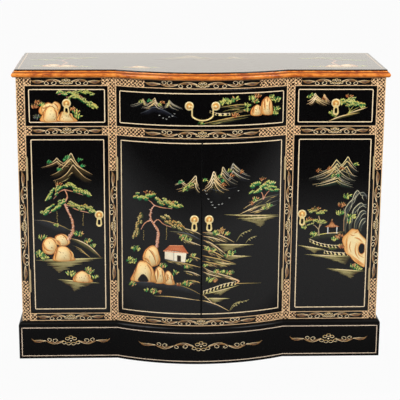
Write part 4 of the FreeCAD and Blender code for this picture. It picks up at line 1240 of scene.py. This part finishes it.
def paint_house(panel):
    """Small white house with a tiled roof."""
    wall = linear(255, 244, 216)
    panel.fill([(-113, 366), (-85, 364), (-85, 334), (-113, 339)], [linear(240, 222, 192), wall], 5, 1, 0.02)
    panel.fill([(-85, 364), (-46, 361), (-50, 330), (-85, 334)], [wall, wall], 5, 1, 0.02)
    panel.fill([(-75, 352), (-63, 351), (-63, 332), (-75, 333)], [SEPIA, INK], 6, 1, 0.0)
    panel.stroke([(-85, 364), (-85, 334)], (1.2, 1.2), [SLATE], 6)
    panel.stroke([(-113, 338), (-85, 333), (-50, 329)], (1.6, 1.8, 1.2), [SLATE], 6)
    roof_top = [(-99, 382), (-57, 383)]
    eaves = [(-118, 364), (-41, 360)]
    tiles = [linear(190, 96, 58), linear(222, 130, 84)]
    panel.fill([eaves[0]] + roof_top + [eaves[1]], tiles, 7, 1, 0.05)
    rows = 9
    for row in range(1, rows):
        panel.stroke([between(roof_top, row / rows), between(eaves, row / rows)], (0.7, 1.1), [RUST], 8)
    panel.stroke([eaves[0], (-80, 361), eaves[1]], (2.2, 2.2), [linear(236, 160, 116)], 9)
    panel.stroke(roof_top, (2.6, 2.6), [linear(232, 154, 108)], 9)


def paint_middle_right_door():
    """Water between hills, with far mountains and a flight of birds."""
    panel = Painting("middle_right_door_painting", "door_centre_right", on_bow, 13)
    side_line(panel, 2.4, 252, MIDDLE_DOOR_LOW, DOOR_HIGH)
    far_line = [MIST, SLATE, linear(196, 194, 180), linear(150, 150, 142), SLATE]
    each(peak, panel, [
        ((70, 596), (95, 639), (164, 583), 3, linear(46, 48, 54), far_line, 2.4),
        ((46, 590), (64, 629), (118, 569), 3, linear(58, 58, 54), [SLATE, GOLD, CREAM, SLATE, MIST], 2.4),
        ((2, 556), (36, 615), (82, 549), 4, linear(60, 56, 42), [OCHRE, CREAM, IVORY, GOLD, OCHRE], 2.6),
    ])
    foot = [(14, 556), (30, 562), (44, 558), (70, 560), (110, 566)]
    ridge(panel, foot, 40, linear(26, 26, 28), [MIST, SLATE, MIST], 1.2)
    shrubs(panel, [
        (10, 590, LEAVES), (54, 602, LEAVES), (62, 588, (PINE, JADE)), (84, 618, LEAVES),
        (122, 614, RED_LEAVES), (92, 604, RED_LEAVES), (66, 575, RED_LEAVES),
    ], 8, 5, 8, 6)
    birds(panel, [
        (10, 556), (14, 546), (20, 530), (29, 520), (32, 511), (40, 503), (52, 512), (62, 514),
        (84, 532), (112, 553),
    ], 3.0)
    bough(panel, [(193, 521), (191, 536), (183, 549)], 4, 1.6)
    bough(panel, [(194, 523), (203, 538), (214, 548)], 3.4, 1.4)
    each(pad, panel, [
        ((190, 563), 38, 15, 0, NEEDLES),
        ((170, 550), 22, 8, 25, NEEDLES),
        ((222, 553), 24, 9, -12, NEEDLES),
    ])
    tuft(panel, (189, 586), 10, 5, RED_LEAVES, 9, 7, 8)
    shores = [
        ([(247, 532), (215, 529), (186, 523), (155, 511), (129, 496)], 26),
        ([(247, 514), (190, 503), (150, 492), (113, 479)], 22),
        ([(215, 508), (170, 500), (132, 487)], 10),
        ([(240, 500), (200, 492), (150, 482)], 10),
    ]
    for spine, fall in shores:
        ridge(panel, spine, fall, linear(62, 60, 54), [SLATE, OLIVE, CREAM, GOLD], 2.2, 0, 4)
    bank(panel, (68, 481), (250, 466), (186, 434))
    bank(panel, (112, 466), (250, 462), (190, 446))
    plant(panel, [
        (168, 524, TURNED_LEAVES, 8), (156, 512, RED_LEAVES, 5), (214, 500, LEAVES, 7), (196, 494, LEAVES, 5),
    ])
    slopes = [
        ([(3, 426), (30, 424), (66, 412), (102, 391)], CREAM),
        ([(3, 414), (36, 408), (78, 392)], CREAM),
        ([(3, 402), (28, 392), (52, 374), (80, 350)], CREAM),
        ([(3, 385), (24, 376), (48, 356)], CREAM),
        ([(3, 352), (24, 347), (60, 338), (106, 322)], GOLD),
        ([(3, 372), (40, 362), (70, 344)], GOLD),
        ([(3, 318), (22, 304), (60, 290), (90, 280), (118, 266)], CREAM),
        ([(3, 300), (30, 290), (62, 280)], CREAM),
        ([(3, 334), (40, 326), (80, 314)], GOLD),
    ]
    for spine, tone in slopes:
        ridge(panel, spine, 16, linear(84, 74, 52), [OCHRE, tone, tone, GOLD], 2.3, 0, 8)
    each(bank, panel, [
        ((40, 388), (166, 379), (70, 362)),
        ((60, 352), (158, 342), (80, 334)),
        ((40, 330), (108, 320), (60, 312)),
        ((10, 214), (90, 210), (40, 196)),
    ])
    tuft(panel, (60, 429), 11, 10, (OCHRE, TAN, GOLD), 12, 8)
    plant(panel, [
        (44, 424, LEAVES, 8), (80, 420, TURNED_LEAVES, 6), (31, 370, TURNED_LEAVES, 8), (16, 376, LEAVES, 5),
        (93, 358, LEAVES, 9), (78, 350, TURNED_LEAVES, 5), (48, 300, TURNED_LEAVES, 7), (66, 298, LEAVES, 5),
        (88, 294, TURNED_LEAVES, 9), (27, 274, LEAVES, 9), (44, 270, RED_LEAVES, 5), (12, 320, LEAVES, 5),
    ], 56, 12)
    reeds(panel, (108, 394), (157, 428), 4)
    reeds(panel, (138, 386), (172, 406), 3)
    panel.stroke([(88, 276), (104, 272), (118, 264), (108, 258)], (2, 5, 5, 1), [CREAM, ROSE], 4)
    fence(panel, [(6, 237), (40, 249), (72, 259), (108, 264)], 11, 0.22)
    panel.stroke([(104, 258), (140, 256), (192, 252)], (2.4, 1.8, 0.4), [GOLD, OLIVE], 3)
    bank(panel, (6, 226), (120, 252), (60, 222))
    ridge(panel, [(3, 226), (18, 214), (30, 202), (42, 192)], 6, OLIVE, [GOLD, CREAM, OCHRE], 2.2, 1)
    ridge(panel, [(3, 206), (20, 202), (52, 190), (89, 168)], 12, MIST, [GOLD, CREAM, GOLD], 2.2)
    reeds(panel, (92, 171), (152, 201), 4)
    reeds(panel, (90, 171), (126, 199), 3)
    panel.hang()


def paint_right_door():
    """Garden under a cliff, with a pierced rock by the water."""
    panel = Painting("right_door_painting", "door_right", on_flat, 14)
    frame_line(panel, 299, SIDE_DOOR_LOW, 520, DOOR_HIGH)
    each(peak, panel, [
        ((371, 578), (451, 647), (495, 589), 3, linear(66, 70, 64), [SLATE, STRAW, STRAW, GOLD, SLATE], 2.2),
        ((331, 572), (416, 638), (489, 567), 4, linear(70, 74, 62), [SLATE, GOLD, STRAW, OLIVE, SLATE], 2.2),
        ((331, 556), (421, 589), (482, 551), 3, linear(52, 74, 58), [GOLD, CREAM, LIME, SLATE, MIST], 2.2),
    ])
    shrubs(panel, [
        (362, 606, RED_LEAVES), (395, 613, RED_LEAVES), (434, 612, RED_LEAVES), (477, 625, LEAVES),
        (408, 588, LEAVES), (425, 590, (PINE, JADE)),
    ], 9, 5, 8, 6)
    paint_cliff(panel)
    plant(panel, [
        (453, 523, LEAVES, 9), (437, 496, RED_LEAVES, 8), (431, 470, LEAVES, 9), (467, 458, LEAVES, 10),
        (462, 442, TURNED_LEAVES, 6),
    ])
    branch = linear(196, 186, 150)
    panel.stroke([(446, 410), (445, 446), (447, 466), (444, 484)], (2.6, 1.4), [TAN, branch], 6, [UMBER])
    limbs = [
        ([(369, 396), (367, 416), (371, 436), (366, 460)], (4.5, 2)),
        ([(368, 414), (360, 424), (350, 432)], (3, 1.4)),
        ([(369, 424), (378, 436), (384, 442)], (2.6, 1.2)),
    ]
    for path, widths in limbs:
        panel.stroke(path, widths, [branch, CREAM], 4, [UMBER], 4, 0.2)
    muted = (linear(34, 64, 38), MOSS, LIME)
    each(pad, panel, [
        ((362, 474), 28, 9, -6, muted),
        ((340, 440), 24, 9, 18, muted),
        ((376, 441), 15, 7, 0, muted),
    ])
    tuft(panel, (356, 484), 14, 5, RED_LEAVES, 9, 7, 8)
    tuft(panel, (338, 450), 12, 5, RED_LEAVES, 8, 7, 8)
    plant(panel, [
        (322, 424, LEAVES, 6), (352, 402, LEAVES, 8), (431, 394, RED_LEAVES, 9), (418, 386, LEAVES, 7),
        (440, 360, RED_LEAVES, 7),
    ])
    garden = [(335, 384), (360, 397), (389, 403), (420, 406), (446, 408)]
    ridge(panel, garden, 20, linear(58, 62, 40), [OLIVE, LIME, GOLD, OLIVE], 2.2)
    paint_pavilion(panel)
    fence(panel, [(340, 385), (372, 372), (404, 366), (432, 364)], 9, -0.35)
    fence(panel, [(386, 347), (420, 342), (462, 339)], 9, -0.35)
    ridge(panel, [(398, 352), (420, 362), (444, 370)], 14, MOSS, [OLIVE, LIME, OLIVE], 1.8, 1)
    each(bank, panel, [
        ((303, 365), (392, 350), (356, 338)),
        ((325, 335), (470, 327), (456, 302)),
        ((396, 288), (516, 279), (474, 255)),
    ])
    paint_pierced_rock(panel)
    plant(panel, [(482, 296, TURNED_LEAVES, 9), (497, 288, LEAVES, 7)])
    panel.hang()


def paint_cliff(panel):
    """Steep face in four steps, cut by the frame line."""
    cut = 514
    crest = linear(204, 196, 162)
    steps = [
        [(446, 410), (445, 440), (450, 462), (448, 480), (458, 500), (469, 512), (474, 528), (484, 541),
         (492, 533), (503, 535), (cut, 522)],
        [(463, 412), (462, 440), (469, 462), (474, 480), (486, 494), (497, 501), (506, 495), (cut, 497)],
        [(478, 414), (480, 440), (489, 458), (496, 472), (506, 477), (cut, 471)],
        [(492, 418), (496, 436), (504, 449), (cut, 452)],
    ]
    for number, spine in enumerate(steps):
        lower = [(u + 11, v - 16) for u, v in spine[:-1]] + [(cut, spine[-1][1] - 24)]
        panel.veil(spine, lower, [linear(66, 72, 66)], [INK], number, 4, 4, 0.35)
        panel.stroke(spine, (0.8, 2.2, 2.6, 1.8), [OLIVE, crest, crest, SLATE], number + 2)
        inner = [(min(u + 6, cut), v - 9) for u, v in spine]
        panel.stroke(inner, (0.4, 1.4, 1.8, 0.6), [OLIVE, SLATE, crest, SLATE], number + 2)
    folds = [
        [(484, 538), (476, 516), (463, 500)],
        [(470, 510), (467, 490), (457, 468)],
        [(502, 532), (500, 518), (507, 508)],
        [(452, 472), (456, 448), (453, 424)],
        [(497, 498), (488, 478), (486, 462)],
        [(475, 478), (471, 456), (472, 434)],
    ]
    for fold in folds:
        panel.stroke(fold, (0.4, 2.0, 0.4), [SLATE, crest, MIST], 6)


def paint_pavilion(panel):
    """Open garden roof on posts."""
    for u in (396, 424):
        panel.stroke([(u, 427), (u, 403)], (3.0, 3.0), [CHALK], 4)
    panel.stroke([(392, 404), (428, 405)], (2.0, 2.0), [CREAM], 4)
    roof = [(386, 424), (398, 431), (408, 444), (418, 431), (432, 425), (409, 423)]
    panel.fill(roof, [RUST, ROSE], 5, 1, 0.05)
    panel.dab((408, 447), 6, 3, math.pi / 2, [ROSE], 6)
    for share in (0.2, 0.4, 0.6, 0.8):
        panel.stroke([(408, 443), between([(387, 424), (431, 425)], share)], (0.6, 1.1), [UMBER], 6)


def paint_pierced_rock(panel):
    """Large rock with a hole worn through it, cut by the frame line."""
    outer = [
        (446, 394), (455, 402), (464, 412), (472, 418), (482, 416), (490, 415), (496, 404), (506, 393),
        (516, 383), (517, 372), (517, 361), (517, 345), (517, 332), (517, 314), (515, 293), (502, 298),
        (490, 306), (478, 316), (469, 328), (456, 337), (450, 350), (447, 363), (442, 378),
    ]
    middle_u = 504.5
    middle_v = 353.0
    hole = []
    for u, v in outer:
        turn = math.atan2(v - middle_v, u - middle_u)
        hole.append((middle_u + 10.0 * math.cos(turn), middle_v + 17.0 * math.sin(turn)))
    rim = smooth(outer, 3, True)
    gap = smooth(hole, 3, True)
    rows = [[between([a, b], share) for a, b in zip(rim, gap)] for share in (0, 0.1, 0.35, 0.7, 0.9, 1)]
    orange, amber, cream, pale = ROCK_TONES
    tones = [[tone] * len(rim) for tone in (orange, amber, pale, pale, cream, orange)]
    panel.loft(rows, tones, 4, True)
    creases = [
        ([(460, 396), (456, 379), (457, 359), (462, 336)], 6),
        ([(480, 390), (494, 385), (508, 373)], 5),
        ([(478, 403), (486, 407), (492, 413)], 4),
        ([(476, 330), (490, 315), (503, 305), (514, 301)], 8),
        ([(494, 352), (497, 333), (514, 323)], 3),
        ([(466, 402), (474, 396), (484, 398)], 3),
        ([(470, 378), (466, 360), (472, 340)], 3),
        ([(488, 372), (484, 352), (488, 334), (500, 318)], 4),
    ]
    for crease, wide in creases:
        panel.stroke(crease, (0.5, wide, 0.8 * wide, 0.5), [amber, orange, amber], 6)
        edge = [(u - 0.3 * wide, v - 0.2 * wide) for u, v in crease]
        panel.stroke(edge, (0.3, 1.2, 0.3), [OCHRE, RUST, OCHRE], 7)
    panel.stroke(outer, (1.0, 1.6, 1.4, 1.0), [BARK, OCHRE, RUST], 7)
    panel.stroke(hole, (1.0, 2.0, 1.8, 1.0), [BARK, RUST, BARK], 7)


def paint_left_drawer():
    """Rocks and bushes beside a hanging pine."""
    panel = Painting("left_drawer_painting", "drawer_left", on_flat, 21)
    frame_line(panel, -520, DRAWER_LOW, -293, SIDE_DRAWER_HIGH)
    plant(panel, [
        (-503, 806, RED_LEAVES, 7), (-492, 818, RED_LEAVES, 7), (-497, 774, (MIST, SLATE, PINE), 8),
        (-480, 812, LEAVES, 6),
    ])
    each(rock, panel, [
        ([(-490, 786), (-487, 803), (-476, 812), (-462, 819), (-450, 815), (-440, 822), (-428, 812),
          (-425, 798), (-440, 780), (-470, 776)],
         [[(-484, 802), (-474, 800), (-466, 806)], [(-446, 816), (-436, 806), (-432, 796)]]),
        ([(-485, 760), (-480, 782), (-470, 798), (-456, 806), (-443, 800), (-436, 786), (-432, 770),
          (-431, 760)],
         [[(-476, 786), (-478, 774), (-478, 764)], [(-446, 798), (-438, 784), (-438, 768)]]),
        ([(-437, 760), (-434, 777), (-420, 791), (-404, 786), (-391, 776), (-378, 760)],
         [[(-424, 788), (-428, 776), (-428, 764)], [(-400, 784), (-392, 772)]]),
    ])
    bough(panel, [(-433, 842), (-410, 846), (-384, 846), (-366, 838), (-350, 826)], 2.4, 1.6)
    bough(panel, [(-384, 845), (-394, 836), (-408, 834)], 2.2, 1.4)
    each(pad, panel, [
        ((-410, 846), 26, 7, -6, NEEDLES),
        ((-366, 850), 26, 5, 6, BRIGHT_NEEDLES),
        ((-340, 845), 16, 5, -12, BRIGHT_NEEDLES),
        ((-352, 822), 42, 9, -30, BRIGHT_NEEDLES),
        ((-388, 832), 18, 7, 10, BRIGHT_NEEDLES),
    ])
    tuft(panel, (-326, 806), 12, 6, (MOSS, LIME, LIME), 8, 9, 8, 150)
    plant(panel, [(-380, 790, TURNED_LEAVES, 8), (-374, 776, LEAVES, 8), (-389, 798, RED_LEAVES, 6)])
    panel.hang()


def paint_middle_drawer():
    """Mountains and birds on the left, a wooded shore with rocks on the right."""
    panel = Painting("middle_drawer_painting", "drawer_centre", on_bow, 22)
    frame_line(panel, -255, DRAWER_LOW, 255, MIDDLE_DRAWER_HIGH)
    cool = linear(44, 52, 58)
    each(peak, panel, [
        ((-228, 806), (-180, 834), (-158, 815), 3, cool, [SLATE, OLIVE, GOLD, SLATE], 1.8),
        ((-190, 804), (-144, 838), (-112, 807), 4, linear(56, 58, 54), COOL_GILT, 1.8),
        ((-118, 812), (-99, 833), (-54, 803), 4, cool, [SLATE, LIME, SLATE, MIST], 1.8),
    ])
    foot = [(-190, 789), (-166, 800), (-144, 811), (-110, 800), (-76, 781)]
    ridge(panel, foot, 18, linear(40, 42, 52), [MIST, SLATE, SLATE, MIST], 1.8)
    spots = [(-160, 831, JADE_LEAVES), (-120, 827, RED_LEAVES), (-186, 826, LEAVES), (-128, 820, LEAVES)]
    shrubs(panel, spots, 8, 4, 8, 6)
    birds(panel, [(-129, 786), (-118, 778), (-108, 775), (-100, 782), (-90, 785), (-84, 792)], 2.8)
    slopes = [
        ([(46, 812), (83, 817), (118, 820), (152, 818)], GOLD),
        ([(70, 789), (96, 797), (126, 804), (150, 803)], OLIVE),
        ([(60, 800), (96, 808), (134, 812)], OLIVE),
        ([(-10, 760), (16, 767), (76, 779), (120, 785), (158, 788)], GOLD),
        ([(20, 762), (70, 771), (140, 780)], OLIVE),
    ]
    for spine, tone in slopes:
        ridge(panel, spine, 9, linear(60, 60, 46), [OLIVE, tone, OLIVE], 2.0, 0, 3)
    tuft(panel, (-4, 766), 9, 4, LEAVES, 7, 7, 5, 20)
    fence(panel, [(22, 804), (45, 795), (84, 795)], 7, -0.3)
    plant(panel, [
        (97, 837, TURNED_LEAVES, 9), (80, 829, LEAVES, 7), (68, 835, LEAVES, 7), (56, 826, LEAVES, 7),
        (168, 845, RED_LEAVES, 8), (150, 839, LEAVES, 7), (162, 828, TURNED_LEAVES, 7), (136, 817, LEAVES, 7),
        (136, 803, TURNED_LEAVES, 6), (98, 790, RED_LEAVES, 8), (230, 830, LEAVES, 10), (232, 802, LEAVES, 8),
        (227, 788, LEAVES, 7), (214, 840, LEAVES, 6),
    ])
    each(rock, panel, [
        ([(147, 787), (150, 804), (160, 815), (170, 818), (179, 808), (184, 787), (165, 785)],
         [[(156, 810), (154, 798), (156, 790)], [(174, 812), (174, 798)]]),
        ([(181, 800), (182, 824), (190, 835), (200, 838), (212, 828), (219, 810), (218, 786), (198, 784),
          (184, 788)],
         [[(190, 832), (190, 814), (194, 798)], [(208, 828), (206, 808), (210, 794)],
          [(198, 836), (200, 822)]]),
    ])
    panel.hang()


def paint_right_drawer():
    """Far mountain and a pine on a sunlit shore."""
    panel = Painting("right_drawer_painting", "drawer_right", on_flat, 23)
    frame_line(panel, 294, DRAWER_LOW, 520, SIDE_DRAWER_HIGH)
    each(peak, panel, [
        ((316, 812), (344, 844), (394, 808), 4, linear(120, 96, 66), [OCHRE, CREAM, IVORY, GOLD, UMBER]),
        ((358, 822), (372, 841), (396, 815), 3, linear(92, 70, 56), [UMBER, GOLD, ROSE, UMBER]),
    ])
    shrubs(panel, [(326, 834, LEAVES), (335, 841, LEAVES), (370, 829, RED_LEAVES)], 7, 4, 7, 6)
    stems = [
        [(446, 781), (450, 792), (446, 806)],
        [(448, 783), (454, 796), (464, 808)],
        [(449, 783), (458, 792), (478, 802)],
    ]
    for stem in stems:
        panel.stroke(stem, (2.6, 1.4), [LIME, OLIVE], 4)
    each(pad, panel, [
        ((440, 822), 26, 10, 8, BRIGHT_NEEDLES),
        ((470, 815), 26, 10, -14, NEEDLES),
        ((454, 809), 16, 6, 0, BRIGHT_NEEDLES),
    ])
    tuft(panel, (447, 837), 11, 4, RED_LEAVES, 9, 7, 8)
    plant(panel, [(424, 816, LEAVES, 7), (490, 806, LEAVES, 6), (396, 786, LEAVES, 6), (406, 778, LEAVES, 6)])
    ridge(panel, [(386, 759), (417, 772), (448, 780), (482, 785)], 8, OLIVE, [GOLD, CREAM, GOLD, OLIVE], 3.0)
    ridge(panel, [(440, 781), (470, 791), (504, 802)], 7, OLIVE, [OLIVE, CREAM, GOLD], 2.6)
    panel.hang()


# Ornament of the frame, the plinth, the top and the sides


def along_rail(u, v):
    return lambda far, across: (u + far, v + across)


def along_stile(u, v):
    return lambda far, across: (u - across, v + far)


def paint_frame():
    """Scrolls in the black fields of the rails and stiles."""
    panel = Painting("frame_scrollwork", "carcase", on_front(0.0), 31)
    flower = 19.0
    for level, tall in ((BOTTOM_RAIL, 7.8), (MIDDLE_RAIL, 9.2), (TOP_RAIL, 8.6)):
        for middle, half, waves in ((-SIDE_BAY, 105, 1), (0, 172, 2), (SIDE_BAY, 105, 1)):
            scroll_run(panel, along_rail(middle, level), half, tall, flower, waves, 1)
    for middle in (-OUTER_STILE, -INNER_STILE, INNER_STILE, OUTER_STILE):
        scroll_run(panel, along_stile(middle, 430.0), 175, 8.0, flower, 2, -1)
    panel.hang()


def paint_plinth():
    """Cream line round the plinth's front, and a scroll in each of its bays."""
    panel = Painting("plinth_scrollwork", "carcase", on_front(PLINTH_OUT), 32)
    low = 9
    high = 102
    end = 561
    kink = 260.8
    path = [(u, high) for u in (end, kink, -kink, -end)] + [(u, low) for u in (-end, -kink, kink, end)]
    panel.line(divided(path, 9, True), [2.6], [linear(255, 232, 206)], 0, [linear(214, 186, 160)], True, 0.04)
    for middle, half, waves, side in ((-SIDE_BAY, 123, 1, -1), (0, 194, 2, 1), (SIDE_BAY, 123, 1, -1)):
        scroll_run(panel, along_rail(middle, 59), half, 16.0, 27.0, waves, side, 1.5)
    panel.hang()


def top_outline(inset):
    """Outline of the top with its bow, a little inside its edge."""
    radius = BOW_RADIUS + RIM_OUT - inset
    front = FACE_Y - RIM_OUT + inset
    kink = math.sqrt(radius ** 2 - (BOW_CENTRE_Y - front) ** 2)
    reach = math.asin(kink / radius)
    arc = []
    for step in range(41):
        turn = reach * (step / 20 - 1)
        arc.append((radius * math.sin(turn), BOW_CENTRE_Y - radius * math.cos(turn)))
    side = BODY_HALF + RIM_OUT - inset
    back = TOP_BACK_Y - inset
    return [(-side, back), (-side, front)] + arc + [(side, front), (side, back)]


def paint_top():
    """Mountains between two pines, in thin paint on the top."""
    panel = Painting("top_painting", "carcase", on_top, 33, 0.2)
    panel.line(divided(top_outline(11.0), 30, True), [3.0], [LINE_EDGE], 0, [TAN], True, 0.04)
    peak(panel, (-150, 62), (-30, 150), (80, 58), 4, linear(74, 66, 42), GILT)
    peak(panel, (30, 66), (110, 122), (190, 60), 3, linear(58, 58, 54), COOL_GILT)
    spots = [(-60, 118), (10, 104), (-96, 88), (90, 96), (128, 92)]
    shrubs(panel, [(u, v, LEAVES) for u, v in spots], 10, 6, 9, 7, 40)
    birds(panel, [(-14, 10), (6, 18), (30, 6), (52, 16), (74, 2)], 5)
    for hand in (-1, 1):
        def mirrored(*points):
            return [(hand * u, v) for u, v in points]

        bank(panel, *mirrored((536, -78), (300, -84), (430, -116)))
        bough(panel, mirrored((424, -44), (412, -4), (428, 34), (418, 66)), 10, 4)
        bough(panel, mirrored((426, 30), (452, 44), (484, 40)), 4, 1.8)
        bough(panel, mirrored((420, 60), (390, 82), (356, 78)), 4, 1.8)
        pad(panel, (hand * 486, 52), 40, 11, -8, NEEDLES)
        pad(panel, (hand * 362, 90), 42, 11, 10, BRIGHT_NEEDLES)
        pad(panel, (hand * 424, 92), 34, 11, 0, NEEDLES)
        outline = mirrored((478, -82), (474, -52), (458, -34), (438, -40), (426, -62), (422, -84))
        rock(panel, outline, [mirrored((468, -46), (462, -62), (466, -76))])
        outline = mirrored((434, -86), (430, -62), (412, -46), (392, -54), (382, -74), (378, -88))
        rock(panel, outline, [mirrored((404, -52), (398, -66), (402, -80))])
        plant(panel, [
            (hand * 496, -66, LEAVES, 12), (hand * 364, -74, TURNED_LEAVES, 11), (hand * 340, -80, LEAVES, 8),
        ])
    bank(panel, (-262, -96), (-96, -104), (-170, -132))
    outline = [(-214, -102), (-210, -82), (-194, -70), (-174, -76), (-162, -92), (-160, -105)]
    rock(panel, outline, [[(-196, -76), (-200, -90), (-196, -100)]])
    plant(panel, [(-226, -88, TURNED_LEAVES, 9), (-148, -94, LEAVES, 8)])
    panel.hang(TOP_PAINT)


def paint_side(name, place):
    """Pine on its rocks under far mountains."""
    panel = Painting(name, "carcase", place, 34)
    frame_line(panel, -144, 142, 144, 876)
    peak(panel, (-96, 606), (-14, 690), (66, 602), 4, linear(74, 66, 42), GILT)
    peak(panel, (18, 612), (62, 656), (112, 608), 3, linear(58, 58, 54), COOL_GILT)
    spots = [(-40, 652), (20, 640), (-62, 622), (66, 634)]
    shrubs(panel, [(u, v, (PINE, FERN, JADE)) for u, v in spots], 9, 6, 9, 7, 40)
    each(bough, panel, [
        ([(-6, 352), (6, 392), (-4, 430), (10, 470), (4, 504)], 11, 5),
        ([(6, 470), (-26, 482), (-62, 474)], 4.5, 1.8),
        ([(4, 500), (34, 516), (72, 506)], 4.5, 1.8),
    ])
    each(pad, panel, [
        ((-58, 488), 44, 11, 14, NEEDLES),
        ((66, 520), 44, 11, -14, BRIGHT_NEEDLES),
        ((-4, 530), 38, 11, 4, NEEDLES),
    ])
    tuft(panel, (-8, 544), 14, 6, RED_LEAVES, 10, 8, 8)
    ridge(panel, [(-120, 420), (-84, 418), (-40, 404), (0, 380)], 24, MIST, DUSK, 1.6)
    ridge(panel, [(10, 384), (48, 372), (84, 346), (112, 322)], 16, OLIVE, LIT_SLOPE, 2.4, 0, 4)
    bank(panel, (-122, 316), (120, 322), (-30, 272))
    plant(panel, [(-84, 340, LEAVES, 12), (44, 384, TURNED_LEAVES, 10), (72, 364, LEAVES, 7)])
    each(rock, panel, [
        ([(-62, 318), (-58, 346), (-40, 366), (-18, 360), (-8, 338), (-10, 317)],
         [[(-48, 358), (-52, 342), (-48, 328)], [(-20, 356), (-18, 338)]]),
        ([(-18, 316), (-14, 344), (6, 360), (28, 350), (40, 330), (42, 316)],
         [[(-4, 352), (-8, 336), (-6, 324)], [(26, 346), (30, 330)]]),
    ])
    bank(panel, (-36, 248), (84, 240), (18, 212))
    rock(panel, [(2, 246), (6, 264), (24, 276), (42, 266), (50, 245)], [[(14, 268), (12, 256)]])
    plant(panel, [(-8, 262, LEAVES, 9), (58, 262, TURNED_LEAVES, 9)])
    panel.hang()


paint_left_door()
paint_middle_left_door()
paint_middle_right_door()
paint_right_door()
paint_left_drawer()
paint_middle_drawer()
paint_right_drawer()
paint_frame()
paint_plinth()
paint_top()
paint_side("right_side_painting", on_right_side)
paint_side("left_side_painting", on_left_side)


# Stage, light and camera


def grey(level):
    return (level, level, level)


def add_floor():
    """Pale floor, white to the eye; in reflections it has a painted shadow just in front of the object and
    grows darker towards the viewer.
    """
    bpy.ops.object.select_all(action="DESELECT")
    bpy.ops.mesh.primitive_plane_add(size=24.0, location=(0, 0, -0.0005))
    floor = bpy.context.object
    floor.name = "floor"
    finish = Finish("pale_floor")
    depth = finish.axes(finish.place())[1]
    stretch = finish.node("ShaderNodeMapRange", {}, {"Value": depth, "From Min": -3.6, "From Max": 0.0})
    # painted shadow: the stops from 0.89 to 0.97 darken the floor just in front of the plinth
    tone = finish.ramp(stretch, [
        (0.00, grey(0.012)), (0.30, grey(0.02)), (0.44, grey(0.18)), (0.56, grey(0.42)),
        (0.84, grey(0.4)), (0.89, grey(0.1)), (0.97, grey(0.09)), (1.00, grey(0.3)),
    ])
    finish.put("Base Color", tone)
    finish.put("Roughness", 0.9)
    finish.put("Specular IOR Level", 0.0)
    glow = finish.node("ShaderNodeEmission", {}, {"Color": opaque(grey(1)), "Strength": 1.0})
    seen, mirrored, through = finish.rays()
    shown = (seen + through) * 0.96 + mirrored * tone * 0.5
    surface = Socket(finish, finish.shader.outputs[0])
    blend = finish.node("ShaderNodeMixShader", {}, {0: shown, 1: surface, 2: glow})
    finish.feed(finish.tree.nodes["Material Output"].inputs["Surface"], blend)
    floor.data.materials.append(finish.material)


def set_world():
    """White surroundings for the eye and for polish, soft fill for the rest."""
    world = bpy.data.worlds.new("white_studio")
    bpy.context.scene.world = world
    around = Nodes(world)
    seen, mirrored, through = around.rays()
    shown = around.maths("MAXIMUM", around.maths("MAXIMUM", seen, mirrored), through)
    depth = around.axes(around.coordinates("Generated"))[1]
    darker_front = {"Value": depth, "From Min": -0.5, "From Max": 0.4, "To Min": 0.3, "To Max": 1.0}
    behind = around.node("ShaderNodeMapRange", {}, darker_front)
    white = around.maths("MAXIMUM", behind, seen)
    level = around.node("ShaderNodeMapRange", {}, {"Value": shown, "To Min": 0.45, "To Max": white})
    background = around.tree.nodes["Background"]
    around.feed(background.inputs["Color"], around.mix(mirrored, grey(1), (1.0, 0.95, 0.88)))
    around.feed(background.inputs["Strength"], level)


def add_lamp(name, place, target, wide, high, watts, mirrored=True):
    """Soft box that looks at a point."""
    bpy.ops.object.select_all(action="DESELECT")
    bpy.ops.object.light_add(type="AREA", location=place)
    lamp = bpy.context.object
    lamp.name = name
    lamp.data.shape = "RECTANGLE"
    lamp.data.size = wide
    lamp.data.size_y = high
    lamp.data.energy = watts
    lamp.rotation_euler = (Vector(target) - Vector(place)).to_track_quat("-Z", "Y").to_euler()
    lamp.visible_camera = False
    lamp.visible_glossy = mirrored


def add_camera():
    """Camera where the photographer stood."""
    yaw = math.radians(2.402)
    pitch = math.radians(14.773)
    roll = math.radians(0.384)
    ahead = Vector((math.sin(yaw) * math.cos(pitch), math.cos(yaw) * math.cos(pitch), -math.sin(pitch)))
    level_right = Vector((math.cos(yaw), -math.sin(yaw), 0))
    level_up = level_right.cross(ahead)
    right = level_right * math.cos(roll) + level_up * math.sin(roll)
    up = level_up * math.cos(roll) - level_right * math.sin(roll)
    bpy.ops.object.select_all(action="DESELECT")
    bpy.ops.object.camera_add(location=(-0.1629, -3.9424, 1.5171))
    camera = bpy.context.object
    camera.rotation_euler = Matrix((right, up, -ahead)).transposed().to_euler()
    camera.data.lens = 115.03
    camera.data.sensor_width = 36.0
    bpy.context.scene.camera = camera


add_floor()
set_world()
add_lamp("front_box_left", (-2.2, -3.0, 2.9), (-0.1, 0, 0.5), 2.0, 1.6, 92)
add_lamp("front_box_right", (2.4, -2.6, 2.7), (0.1, 0, 0.5), 1.8, 1.6, 80)
add_lamp("back_box", (0.1, 3.2, 1.9), (0, 0, 0.9), 4.2, 1.8, 50, False)
add_camera()
bpy.context.scene.view_settings.view_transform = "Standard"
